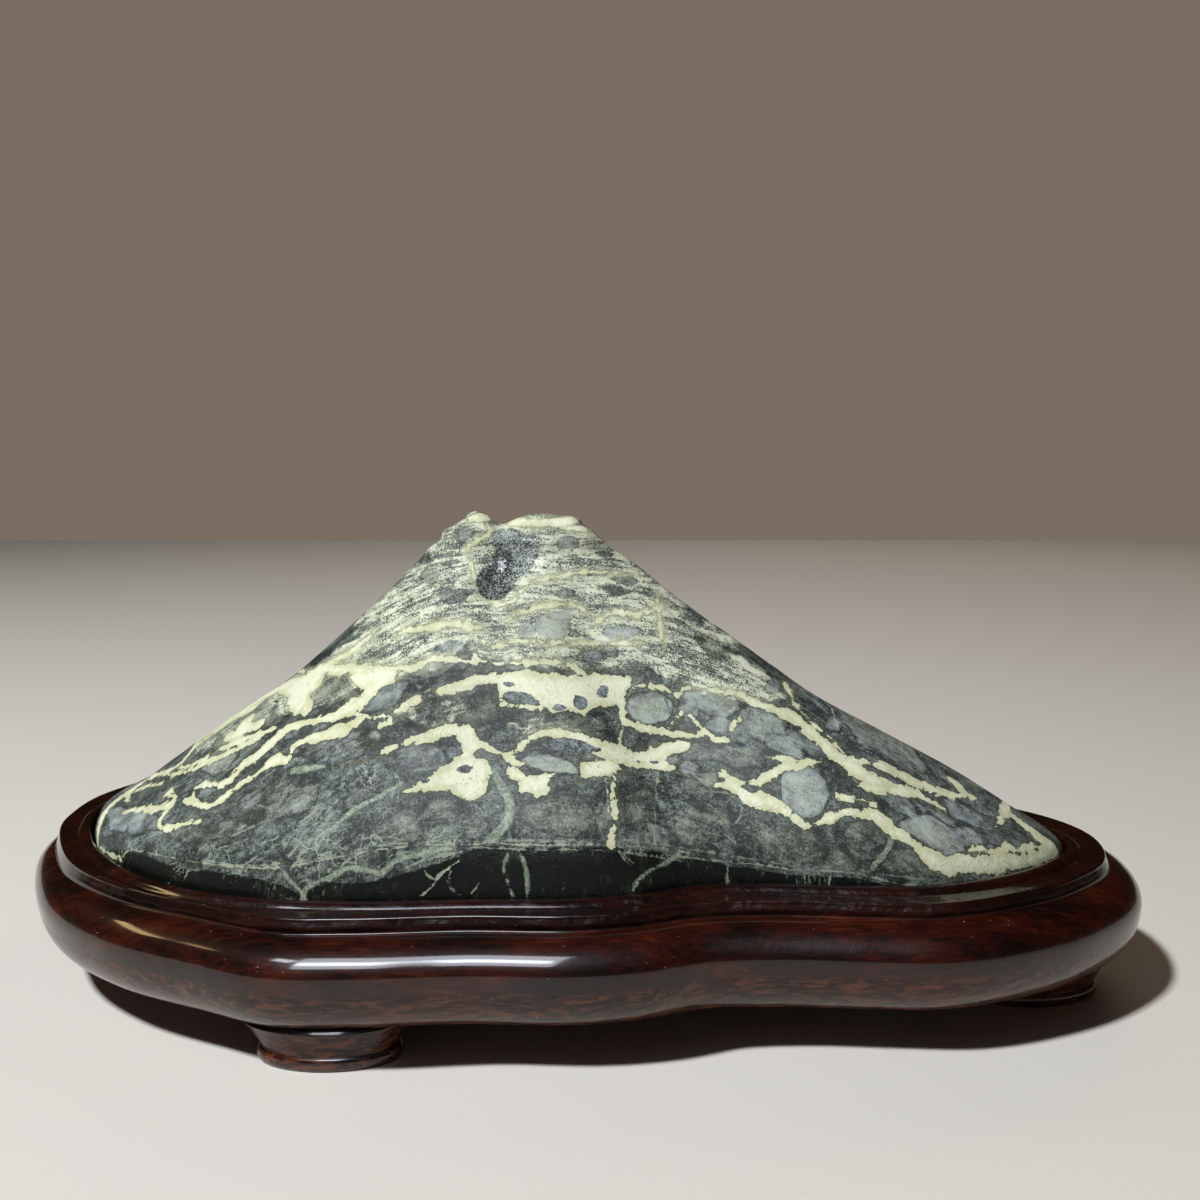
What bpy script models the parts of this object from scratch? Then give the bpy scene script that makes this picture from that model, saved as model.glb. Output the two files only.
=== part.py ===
"""A mountain-shaped viewing stone seated in its carved wooden stand.

Lengths are in metres, +Z is up. The origin is the middle of the stand's outline, on the surface
that it stands on. +X runs along the stone to its right end, and -Y is its viewing side.
"""
import math

import bmesh
import bpy
import numpy as np

# ---- driving dimensions of the stand -------------------------------------------------------
RIM_HEIGHT = 0.031          # top of the flat rim above the table
BOARD_UNDERSIDE = 0.0089    # lowest part of the board, which the feet carry
NOSE_RADIUS = 0.0099        # half-round moulding around the board
NOSE_FLAT = 0.0002          # upright stretch in the middle of that moulding
NOSE_REACH_FRONT = 0.0088   # how far the moulding stands out past the rim
NOSE_REACH_LEFT = 0.0051
NOSE_REACH_RIGHT = 0.0079
NOSE_REACH_BACK = 0.0070
RIM_EDGE_RADIUS = 0.0006
WALL_OVERLAP = 0.004        # how deep the rim block is let into the moulded board
RECESS_FLOOR = 0.0232
RECESS_PLAY_FRONT = 0.0005  # the recess is cut closely along the front
RECESS_PLAY_ENDS = 0.0016
RECESS_PLAY_BACK = 0.0010
OUTLINE_STEPS = 96          # straight stretches around each of the board's outlines

# Outer edge of the rim, anticlockwise from the right end, seen from above.
RIM_OUTLINE = [
    (0.1245, -0.0108), (0.1208, 0.0032), (0.1093, 0.0162), (0.0873, 0.0302), (0.0573, 0.0432),
    (0.0193, 0.0532), (-0.0207, 0.0592), (-0.0607, 0.0612), (-0.0927, 0.0572), (-0.1147, 0.0442),
    (-0.1257, 0.0262), (-0.1272, 0.0092), (-0.1237, -0.0058), (-0.1117, -0.0268),
    (-0.0947, -0.0418), (-0.0747, -0.0519), (-0.0582, -0.0588), (-0.0427, -0.0594),
    (-0.0207, -0.0577), (-0.0007, -0.0583), (0.0133, -0.0563), (0.0273, -0.0515),
    (0.0433, -0.0503), (0.0613, -0.0513), (0.0773, -0.0515), (0.0933, -0.0466),
    (0.1073, -0.0388), (0.1201, -0.0263),
]

# ---- driving dimensions of the stone -------------------------------------------------------
STONE_UNDERSIDE = 0.0235    # flat sawn underside, just above the recess floor
SUMMIT = (-0.0112, -0.0008)  # middle of the small level summit
SUMMIT_HALF_WIDTH = 0.0135
SUMMIT_HALF_DEPTH = 0.0070
PLAN_FLATTENING = 0.45      # depth over width of the stone, seen from above
STONE_SEGMENTS = 68
STONE_RINGS = 34

# Where the stone meets the rim, anticlockwise from the right end, seen from above.
STONE_OUTLINE = [
    (0.1133, -0.0093), (0.1033, 0.0042), (0.0853, 0.0172), (0.0573, 0.0302), (0.0243, 0.0402),
    (-0.0157, 0.0462), (-0.0557, 0.0492), (-0.0887, 0.0442), (-0.1087, 0.0302),
    (-0.1177, 0.0132), (-0.1167, -0.0008), (-0.1092, -0.0173), (-0.0962, -0.0330),
    (-0.0807, -0.0440), (-0.0627, -0.0502), (-0.0427, -0.0521), (-0.0207, -0.0508),
    (-0.0007, -0.0508), (0.0133, -0.0486), (0.0263, -0.0434), (0.0413, -0.0420),
    (0.0593, -0.0433), (0.0753, -0.0430), (0.0913, -0.0382), (0.1048, -0.0296),
    (0.1135, -0.0193),
]

# Slopes from the middle of the summit down to the underside, on four sides of the stone.
# Each point is (reach, height above the rim): the reach is -1 in the middle of the summit,
# 0 at its edge and 1 at the stone's outline.
SLOPE_RIGHT = [
    (-1.0, 0.0750), (-0.5, 0.0752), (0.0, 0.0730), (0.08, 0.0678), (0.2, 0.0573),
    (0.347, 0.0452), (0.5, 0.0334), (0.65, 0.0240), (0.8, 0.0147), (0.9, 0.0080),
    (0.96, 0.0042), (0.99, 0.0016), (1.0, -0.0012), (0.985, -0.0050), (0.95, -0.0075),
    (0.5, -0.0075), (-1.0, -0.0075),
]
SLOPE_FRONT = [
    (-1.0, 0.0750), (-0.5, 0.0750), (0.0, 0.0736), (0.08, 0.0672), (0.2, 0.0572),
    (0.347, 0.0470), (0.5, 0.0375), (0.65, 0.0295), (0.8, 0.0215), (0.9, 0.0155),
    (0.965, 0.0095), (0.99, 0.0045), (1.0, -0.0010), (0.99, -0.0050), (0.95, -0.0075),
    (0.5, -0.0075), (-1.0, -0.0075),
]
SLOPE_LEFT = [
    (-1.0, 0.0750), (-0.5, 0.0754), (0.0, 0.0745), (0.08, 0.0690), (0.2, 0.0586),
    (0.347, 0.0458), (0.5, 0.0346), (0.65, 0.0248), (0.8, 0.0147), (0.9, 0.0080),
    (0.96, 0.0056), (0.99, 0.0030), (1.0, -0.0010), (0.985, -0.0050), (0.95, -0.0075),
    (0.5, -0.0075), (-1.0, -0.0075),
]
SLOPE_BACK = [
    (-1.0, 0.0750), (-0.5, 0.0750), (0.0, 0.0736), (0.08, 0.0672), (0.2, 0.0572),
    (0.347, 0.0465), (0.5, 0.0365), (0.65, 0.0280), (0.8, 0.0195), (0.9, 0.0135),
    (0.965, 0.0080), (0.99, 0.0035), (1.0, -0.0010), (0.99, -0.0050), (0.95, -0.0075),
    (0.5, -0.0075), (-1.0, -0.0075),
]

# Lumps and hollows of the worn surface: middle, reach along each axis, and rise (down if less
# than nothing).
RELIEF = [
    ((-0.0227, -0.0018, 0.107), (0.0046, 0.0120, 0.010), 0.0022),     # left horn of the summit
    ((-0.0172, -0.0038, 0.106), (0.0036, 0.0100, 0.008), -0.0024),    # notch beside it
    ((-0.0087, 0.0012, 0.107), (0.0070, 0.0080, 0.008), 0.0014),     # broad right hump
    ((0.0006, -0.0008, 0.106), (0.0034, 0.0080, 0.008), 0.0012),     # small knob at its end
    ((-0.0137, -0.0118, 0.096), (0.0080, 0.0100, 0.0070), -0.0016),  # scoop below the summit
    ((-0.0187, -0.0148, 0.090), (0.0050, 0.0080, 0.0060), -0.0018),  # dark pit in the scoop
    ((-0.0707, -0.0108, 0.063), (0.0120, 0.0300, 0.0120), 0.0006),   # swelling on the left slope
    ((-0.0487, -0.0108, 0.082), (0.0100, 0.0200, 0.0100), -0.0010),  # dip above it
    ((-0.0907, -0.0168, 0.048), (0.0120, 0.0300, 0.0100), -0.0008),  # dip below it
    ((-0.0337, -0.0348, 0.062), (0.0160, 0.0200, 0.0140), 0.0014),   # shoulder left of the middle
    ((0.0243, -0.0288, 0.062), (0.0140, 0.0200, 0.0140), -0.0014),   # shallow valley
    ((0.0613, -0.0308, 0.048), (0.0160, 0.0200, 0.0120), 0.0012),    # right shoulder
    ((-0.0857, -0.0378, 0.042), (0.0160, 0.0160, 0.0080), 0.0010),   # left toe
    ((0.0893, 0.0052, 0.048), (0.0140, 0.0200, 0.0120), 0.0012),     # swelling on the right slope
    ((-0.0307, 0.0352, 0.062), (0.0260, 0.0200, 0.0160), 0.0026),    # back buttress
    ((0.0243, 0.0252, 0.062), (0.0160, 0.0200, 0.0200), -0.0022),    # back gully
    ((-0.0857, 0.0312, 0.048), (0.0200, 0.0200, 0.0120), -0.0014),   # hollow on the left back
]
NORMAL_STEP = 0.002         # step in the surface's own parameters, for its normal

# ---- driving dimensions of the feet --------------------------------------------------------
FOOT_HEIGHT = 0.0086
FOOT_LENGTH = 0.030         # over the toe
FOOT_DEPTH = 0.016
FOOT_STEPS = 24
FOOT_FLARE = 0.0030         # how far the top spreads past the toe, at the foot's ends
FOOT_WAIST = 0.0012         # how far the waist is drawn in
FEET = {                    # middle of each foot, and its turn about Z in degrees
    "foot_front_left": (-0.0483, -0.0542, 0.0),
    "foot_front_right": (0.1053, -0.0263, 8.0),
    "foot_back_left": (-0.0907, 0.0432, -10.0),
    "foot_back_right": (0.0793, 0.0242, -24.0),
}

# ---- finishes: colour, roughness, metallic --------------------------------------------------
STONE_FINISH = ((0.22, 0.27, 0.22, 1.0), 0.38, 0.0)
WOOD_FINISH = ((0.060, 0.012, 0.006, 1.0), 0.22, 0.0)


def clear_scene():
    for scene_object in list(bpy.data.objects):
        bpy.data.objects.remove(scene_object, do_unlink=True)


def new_collection(name):
    collection = bpy.data.collections.new(name)
    bpy.context.scene.collection.children.link(collection)
    return collection


def finish_material(name, finish):
    colour, roughness, metallic = finish
    material = bpy.data.materials.new(name)
    material.use_nodes = True
    shader = material.node_tree.nodes["Principled BSDF"]
    shader.inputs["Base Color"].default_value = colour
    shader.inputs["Roughness"].default_value = roughness
    shader.inputs["Metallic"].default_value = metallic
    material.diffuse_color = colour
    return material


def move_to(scene_object, collection):
    for old in list(scene_object.users_collection):
        old.objects.unlink(scene_object)
    collection.objects.link(scene_object)


def round_off(scene_object, angle=35.0):
    scene_object.data.shade_smooth()
    scene_object.data.set_sharp_from_angle(angle=math.radians(angle))


# ---- outlines ------------------------------------------------------------------------------
def catmull_rom(points, position):
    """A smooth closed curve through the points, read at positions counted in points."""
    points = np.asarray(points)
    start = np.floor(position).astype(int)
    part = (position - start)[:, None]
    before, first, second, after = (points[(start + step) % len(points)] for step in (-1, 0, 1, 2))
    return 0.5 * (2 * first + (second - before) * part
                  + (2 * before - 5 * first + 4 * second - after) * part ** 2
                  + (3 * first - before - 3 * second + after) * part ** 3)


def around(outline, turn):
    """Points of a closed smooth outline at shares of its length, from 0 to 1."""
    dense = catmull_rom(outline, np.linspace(0, len(outline), 1441))
    length = np.concatenate([[0], np.cumsum(np.linalg.norm(np.diff(dense, axis=0), axis=1))])
    where = (np.asarray(turn) % 1.0) * length[-1]
    return np.stack([np.interp(where, length, dense[:, axis]) for axis in (0, 1)], axis=-1)


def outward(points):
    """Unit vectors that point out of a closed anticlockwise outline."""
    along = np.roll(points, -1, axis=0) - np.roll(points, 1, axis=0)
    along /= np.linalg.norm(along, axis=1)[:, None]
    return np.stack([along[:, 1], -along[:, 0]], axis=1)


def by_side(direction, right, back, left, front):
    """A value for each direction, mixed from the values of the four sides."""
    east, north = direction[:, 0], direction[:, 1]
    across = np.where(east > 0, right, left) * east ** 2
    return across + np.where(north > 0, back, front) * north ** 2


def widened(outline, right, back, left, front):
    """The outline moved out by a distance that differs from side to side."""
    points = around(outline, np.arange(OUTLINE_STEPS) / OUTLINE_STEPS)
    direction = outward(points)
    return points + direction * by_side(direction, right, back, left, front)[:, None]


def outline_block(name, points, low, high, edge_radius, edge_steps, collection):
    """A flat outline, half-round or rounded at its edge, between two heights, as a mesh."""
    curve = bpy.data.curves.new(name, "CURVE")
    curve.dimensions = "2D"
    curve.fill_mode = "BOTH"
    curve.extrude = (high - low) / 2 - edge_radius
    curve.bevel_depth = edge_radius
    curve.bevel_resolution = edge_steps
    spline = curve.splines.new("POLY")
    spline.points.add(len(points) - 1)
    for point, (x, y) in zip(spline.points, points):
        point.co = (x, y, 0, 1)
    spline.use_cyclic_u = True
    drawn = bpy.data.objects.new(name + "_outline", curve)
    bpy.context.scene.collection.objects.link(drawn)
    drawn.location.z = (low + high) / 2
    bpy.context.view_layer.update()
    evaluated = drawn.evaluated_get(bpy.context.evaluated_depsgraph_get())
    mesh = bpy.data.meshes.new_from_object(evaluated)
    mesh.name = name
    weld(mesh)
    block = bpy.data.objects.new(name, mesh)
    collection.objects.link(block)
    block.matrix_world = drawn.matrix_world
    bpy.data.objects.remove(drawn, do_unlink=True)
    return block


def weld(mesh):
    shape = bmesh.new()
    shape.from_mesh(mesh)
    bmesh.ops.remove_doubles(shape, verts=shape.verts, dist=0.00001)
    bmesh.ops.recalc_face_normals(shape, faces=shape.faces)
    shape.to_mesh(mesh)
    shape.free()


def add_boolean(scene_object, operation, cutter):
    boolean = scene_object.modifiers.new(cutter.name, "BOOLEAN")
    boolean.operation = operation
    boolean.object = cutter
    boolean.solver = "EXACT"
    cutter.hide_render = True
    cutter.display_type = "WIRE"


# ---- the stand -----------------------------------------------------------------------------
def make_stand(parts, cutters, wood):
    inset = NOSE_RADIUS
    nose = widened(RIM_OUTLINE, NOSE_REACH_RIGHT - inset, NOSE_REACH_BACK - inset,
                   NOSE_REACH_LEFT - inset, NOSE_REACH_FRONT - inset)
    board_top = BOARD_UNDERSIDE + 2 * NOSE_RADIUS + NOSE_FLAT
    stand = outline_block("stand", nose, BOARD_UNDERSIDE, board_top, NOSE_RADIUS, 3, parts)
    edge = -RIM_EDGE_RADIUS
    rim = outline_block("rim_block", widened(RIM_OUTLINE, edge, edge, edge, edge),
                        board_top - WALL_OVERLAP, RIM_HEIGHT, RIM_EDGE_RADIUS, 0, cutters)
    recess = outline_block("recess", widened(STONE_OUTLINE, RECESS_PLAY_ENDS, RECESS_PLAY_BACK,
                                             RECESS_PLAY_ENDS, RECESS_PLAY_FRONT),
                           RECESS_FLOOR, RIM_HEIGHT + 0.01, 0.0, 0, cutters)
    add_boolean(stand, "UNION", rim)
    add_boolean(stand, "DIFFERENCE", recess)
    stand.data.materials.append(wood)
    round_off(stand)


def make_foot(name, place, parts, wood):
    """A turned foot with a flared top, a drawn-in waist and a rounded toe, squashed in depth."""
    x, y, turn = place
    toe = FOOT_LENGTH / 2
    waist = toe - FOOT_WAIST
    outer = [(0.0, FOOT_HEIGHT), (toe + FOOT_FLARE, FOOT_HEIGHT)]
    cove_low = 0.0052
    cove = FOOT_HEIGHT - 0.0008 - cove_low
    reach = toe + FOOT_FLARE - waist
    for step in range(5):
        angle = math.radians(90.0 * step / 4)
        outer.append((waist + reach * (1 - math.sin(angle)), cove_low + cove * math.cos(angle)))
    outer += [(waist, 0.0026), (toe - 0.0004, 0.0021), (toe, 0.0013), (toe - 0.0006, 0.0),
              (0.0, 0.0)]
    mesh = bpy.data.meshes.new(name)
    edges = [(index, index + 1) for index in range(len(outer) - 1)]
    mesh.from_pydata([(radius, 0.0, height) for radius, height in outer], edges, [])
    foot = bpy.data.objects.new(name, mesh)
    parts.objects.link(foot)
    screw = foot.modifiers.new("turn", "SCREW")
    screw.steps = FOOT_STEPS
    screw.render_steps = FOOT_STEPS
    screw.use_merge_vertices = True
    screw.merge_threshold = 0.00001
    foot.location = (x, y, 0.0)
    foot.rotation_euler.z = math.radians(turn)
    foot.scale.y = FOOT_DEPTH / FOOT_LENGTH
    foot.data.materials.append(wood)


# ---- the stone -----------------------------------------------------------------------------
def held_spline(knots, position):
    """A smooth open curve through the knots, from 0 at the first to 1 at the last."""
    knots = np.asarray(knots)
    last = len(knots) - 1
    place = np.clip(position, 0, 1) * last
    start = np.minimum(place.astype(int), last - 1)
    part = (place - start)[:, None]
    before, first, second, after = (knots[np.clip(start + step, 0, last)] for step in (-1, 0, 1, 2))
    return 0.5 * (2 * first + (second - before) * part
                  + (2 * before - 5 * first + 4 * second - after) * part ** 2
                  + (3 * first - before - 3 * second + after) * part ** 3)


def smooth_stone(turn, drop):
    """The stone without its lumps: turn runs around it, drop from summit to underside."""
    foot = around(STONE_OUTLINE, turn)
    angle = turn * 2 * np.pi
    ring = np.array([SUMMIT_HALF_WIDTH, SUMMIT_HALF_DEPTH])
    edge = SUMMIT + ring * np.stack([np.cos(angle), np.sin(angle)], axis=1)
    away = foot - np.array(SUMMIT)
    bearing = np.arctan2(away[:, 1] / PLAN_FLATTENING, away[:, 0])
    side = np.stack([np.cos(bearing), np.sin(bearing)], axis=1)
    slopes = [held_spline(slope, drop) for slope in (SLOPE_RIGHT, SLOPE_BACK, SLOPE_LEFT, SLOPE_FRONT)]
    reach = by_side(side, *(slope[:, 0] for slope in slopes))
    height = by_side(side, *(slope[:, 1] for slope in slopes))
    height = np.maximum(height + RIM_HEIGHT, STONE_UNDERSIDE)
    inner = np.array(SUMMIT) + (edge - SUMMIT) * np.clip(1 + reach, 0, 1)[:, None]
    plan = inner + (foot - edge) * np.clip(reach, 0, None)[:, None]
    return np.column_stack([plan, height])


def stone_normals(turn, drop):
    """Unit normals from the slopes of the smooth surface in both of its parameters."""
    around_it = smooth_stone(turn + NORMAL_STEP, drop) - smooth_stone(turn - NORMAL_STEP, drop)
    down_it = smooth_stone(turn, drop + NORMAL_STEP) - smooth_stone(turn, drop - NORMAL_STEP)
    normal = np.cross(down_it, around_it)
    size = np.linalg.norm(normal, axis=1)
    upright = np.array([0.0, 0.0, 1.0])
    return np.where(size[:, None] > 1e-12, normal / np.maximum(size, 1e-12)[:, None], upright)


def stone_surface(turn, drop):
    """The smooth surface moved along its normals by every lump and hollow."""
    points = smooth_stone(turn, drop)
    rise = np.zeros(len(points))
    for middle, spread, height in RELIEF:
        distance = ((points - np.array(middle)) / np.array(spread)) ** 2
        rise += height * np.exp(-distance.sum(axis=1))
    above_rim = np.clip((points[:, 2] - RIM_HEIGHT) / 0.003, 0, 1)
    return points + stone_normals(turn, drop) * (rise * above_rim)[:, None]


def make_stone(parts, rock):
    bpy.ops.mesh.primitive_uv_sphere_add(segments=STONE_SEGMENTS, ring_count=STONE_RINGS, radius=1)
    stone = bpy.context.object
    stone.name = "stone"
    mesh = stone.data
    ball = np.empty(len(mesh.vertices) * 3)
    mesh.vertices.foreach_get("co", ball)
    ball = ball.reshape(-1, 3)
    turn = np.arctan2(ball[:, 1], ball[:, 0]) / (2 * np.pi)
    drop = np.arccos(np.clip(ball[:, 2], -1, 1)) / np.pi
    mesh.vertices.foreach_set("co", stone_surface(turn, drop).ravel())
    mesh.update()
    move_to(stone, parts)
    stone.data.materials.append(rock)
    round_off(stone, 60.0)


def main():
    clear_scene()
    parts = new_collection("scholars_rock")
    cutters = new_collection("cutters")
    rock = finish_material("stone", STONE_FINISH)
    wood = finish_material("wood", WOOD_FINISH)
    make_stone(parts, rock)
    make_stand(parts, cutters, wood)
    for name, place in FEET.items():
        make_foot(name, place, parts, wood)


main()
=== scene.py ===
"""Finished surfaces for a mountain-shaped viewing stone on its carved stand, laid out as an add-on.

Lengths are in metres and +Z is up, apart from the marks on the stone, which are worked out in
millimetres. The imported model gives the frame: the stone, the stand and its feet are worked out
again here as fine surfaces in the places of the solids.
"""
import math

import bpy
import numpy as np
from bpy.props import FloatProperty, FloatVectorProperty, IntProperty, PointerProperty
from mathutils import Euler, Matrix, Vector
from mathutils.bvhtree import BVHTree


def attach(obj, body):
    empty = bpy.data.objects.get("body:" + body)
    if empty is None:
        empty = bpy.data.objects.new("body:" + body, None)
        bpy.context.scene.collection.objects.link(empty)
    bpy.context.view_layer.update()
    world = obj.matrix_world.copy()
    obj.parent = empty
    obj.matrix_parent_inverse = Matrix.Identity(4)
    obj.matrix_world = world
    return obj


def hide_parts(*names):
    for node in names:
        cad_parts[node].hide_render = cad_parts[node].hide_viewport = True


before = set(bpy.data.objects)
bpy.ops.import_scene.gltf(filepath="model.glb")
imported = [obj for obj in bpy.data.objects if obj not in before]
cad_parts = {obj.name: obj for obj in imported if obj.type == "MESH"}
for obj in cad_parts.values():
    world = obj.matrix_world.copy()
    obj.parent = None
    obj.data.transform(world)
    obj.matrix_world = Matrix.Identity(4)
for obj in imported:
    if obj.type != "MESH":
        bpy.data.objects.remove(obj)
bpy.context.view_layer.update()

bl_info = {
    "name": "Viewing Stone on Carved Stand",
    "version": (1, 0, 0),
    "blender": (4, 5, 0),
    "location": "3D View > Sidebar > Viewing Stone",
    "description": "Builds a veined mountain stone, its lacquered stand and a plain studio",
    "category": "Add Mesh",
}

MM = 0.001
ROOT = "root"
FEET = ("foot_front_left", "foot_front_right", "foot_back_left", "foot_back_right")

# ---- the eye that the marks are drawn from, and that the camera uses ----
EYE = (0.0069, -0.2858, 0.1242)
EYE_TILT = math.radians(82.5)
VIEW_SIZE = 1200.0          # marks are placed across and down a square view of this many units
DEPTH_SHARE = 0.5           # how much a step away from the eye counts when a mark is laid down

# ---- the stone's form ----
RIM_HEIGHT = 0.031
STONE_UNDERSIDE = 0.0235
SUMMIT = (-0.0112, -0.0008)
SUMMIT_HALF_WIDTH = 0.0135
SUMMIT_HALF_DEPTH = 0.0070
PLAN_FLATTENING = 0.45
NORMAL_STEP = 0.002

# Where the stone meets the rim, anticlockwise from the right end, seen from above.
STONE_OUTLINE = [
    (0.1133, -0.0093), (0.1033, 0.0042), (0.0853, 0.0172), (0.0573, 0.0302), (0.0243, 0.0402),
    (-0.0157, 0.0462), (-0.0557, 0.0492), (-0.0887, 0.0442), (-0.1087, 0.0302),
    (-0.1177, 0.0132), (-0.1167, -0.0008), (-0.1092, -0.0173), (-0.0962, -0.0330),
    (-0.0807, -0.0440), (-0.0627, -0.0502), (-0.0427, -0.0521), (-0.0207, -0.0508),
    (-0.0007, -0.0508), (0.0133, -0.0486), (0.0263, -0.0434), (0.0413, -0.0420),
    (0.0593, -0.0433), (0.0753, -0.0430), (0.0913, -0.0382), (0.1048, -0.0296),
    (0.1135, -0.0193),
]

# Slopes on four sides: (reach from the summit's edge to the outline, height above the rim). All
# of them end in the sawn base, which runs in under the middle.
SAWN_BASE = [(0.95, -0.0075), (0.5, -0.0075), (-1.0, -0.0075)]
SLOPE_RIGHT = [
    (-1.0, 0.0750), (-0.5, 0.0752), (0.0, 0.0730), (0.08, 0.0678), (0.2, 0.0573),
    (0.347, 0.0452), (0.5, 0.0334), (0.65, 0.0240), (0.8, 0.0147), (0.9, 0.0080),
    (0.96, 0.0042), (0.99, 0.0016), (1.0, -0.0012), (0.985, -0.0050),
] + SAWN_BASE
SLOPE_FRONT = [
    (-1.0, 0.0750), (-0.5, 0.0749), (0.0, 0.0725), (0.08, 0.0667), (0.2, 0.0571),
    (0.347, 0.0470), (0.5, 0.0375), (0.65, 0.0295), (0.8, 0.0215), (0.9, 0.0155),
    (0.965, 0.0095), (0.99, 0.0045), (1.0, -0.0010), (0.99, -0.0050),
] + SAWN_BASE
SLOPE_LEFT = [
    (-1.0, 0.0750), (-0.5, 0.0754), (0.0, 0.0745), (0.08, 0.0690), (0.2, 0.0586),
    (0.347, 0.0458), (0.5, 0.0346), (0.65, 0.0248), (0.8, 0.0147), (0.9, 0.0080),
    (0.96, 0.0056), (0.99, 0.0030), (1.0, -0.0010), (0.985, -0.0050),
] + SAWN_BASE
SLOPE_BACK = [
    (-1.0, 0.0750), (-0.5, 0.0744), (0.0, 0.0710), (0.08, 0.0657), (0.2, 0.0567),
    (0.347, 0.0465), (0.5, 0.0365), (0.65, 0.0280), (0.8, 0.0195), (0.9, 0.0135),
    (0.965, 0.0080), (0.99, 0.0035), (1.0, -0.0010), (0.99, -0.0050),
] + SAWN_BASE

# Lumps and hollows: middle, reach along each axis, and rise (down if less than nothing).
RELIEF = [
    ((-0.0220, -0.0030, 0.1080), (0.0046, 0.0072, 0.0046), 0.0023),   # left horn of the summit
    ((-0.0166, -0.0040, 0.106), (0.0034, 0.0090, 0.009), -0.0024),    # notch beside it
    ((-0.0087, -0.0010, 0.1080), (0.0070, 0.0070, 0.0040), 0.0014),   # broad right hump
    ((0.0018, -0.0020, 0.1070), (0.0036, 0.0070, 0.0040), 0.0020),    # small knob at its end
    ((0.0078, -0.0008, 0.1020), (0.0036, 0.0090, 0.0044), -0.0017),   # step down beyond the knob
    ((-0.0285, -0.0018, 0.1045), (0.0030, 0.0090, 0.0030), -0.0006),  # dip below the horn
    ((-0.0330, -0.0010, 0.0990), (0.0032, 0.0090, 0.0040), 0.0007),   # swelling below the dip
    ((-0.0137, -0.0118, 0.096), (0.0080, 0.0100, 0.0070), -0.0016),   # scoop below the summit
    ((-0.0187, -0.0148, 0.090), (0.0050, 0.0080, 0.0060), -0.0018),   # dark pit in the scoop
    ((-0.0680, -0.0108, 0.066), (0.0080, 0.0300, 0.0100), -0.0008),   # dip on the left slope
    ((-0.0907, -0.0168, 0.048), (0.0120, 0.0300, 0.0100), 0.0004),    # swelling below it
    ((-0.0337, -0.0348, 0.062), (0.0160, 0.0200, 0.0140), 0.0014),    # shoulder left of the middle
    ((0.0243, -0.0288, 0.062), (0.0140, 0.0200, 0.0140), -0.0014),    # shallow valley
    ((0.0613, -0.0308, 0.048), (0.0160, 0.0200, 0.0120), 0.0012),     # right shoulder
    ((-0.0857, -0.0378, 0.042), (0.0160, 0.0160, 0.0080), 0.0010),    # left toe
    ((0.0893, 0.0052, 0.048), (0.0140, 0.0200, 0.0120), 0.0012),      # swelling on the right slope
    ((-0.0307, 0.0352, 0.062), (0.0260, 0.0200, 0.0160), 0.0026),     # back buttress
    ((0.0243, 0.0252, 0.062), (0.0160, 0.0200, 0.0200), -0.0022),     # back gully
    ((-0.0857, 0.0312, 0.048), (0.0200, 0.0200, 0.0120), -0.0014),    # hollow on the left back
]

# Fine unevenness left by the polishing: (size of its cells, height), both in millimetres.
FINE_RELIEF = [(13.0, 0.22), (5.5, 0.10), (2.4, 0.035)]

# Rings of the mesh between one point of the slopes and the next, from the summit down.
RINGS_BETWEEN = (7, 9, 14, 20, 22, 20, 18, 18, 13, 12, 9, 8, 2, 1, 1, 1)
VIEWED_SIDE = (0.46, 1.04)  # turns that face the viewer, which get most of the columns

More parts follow.
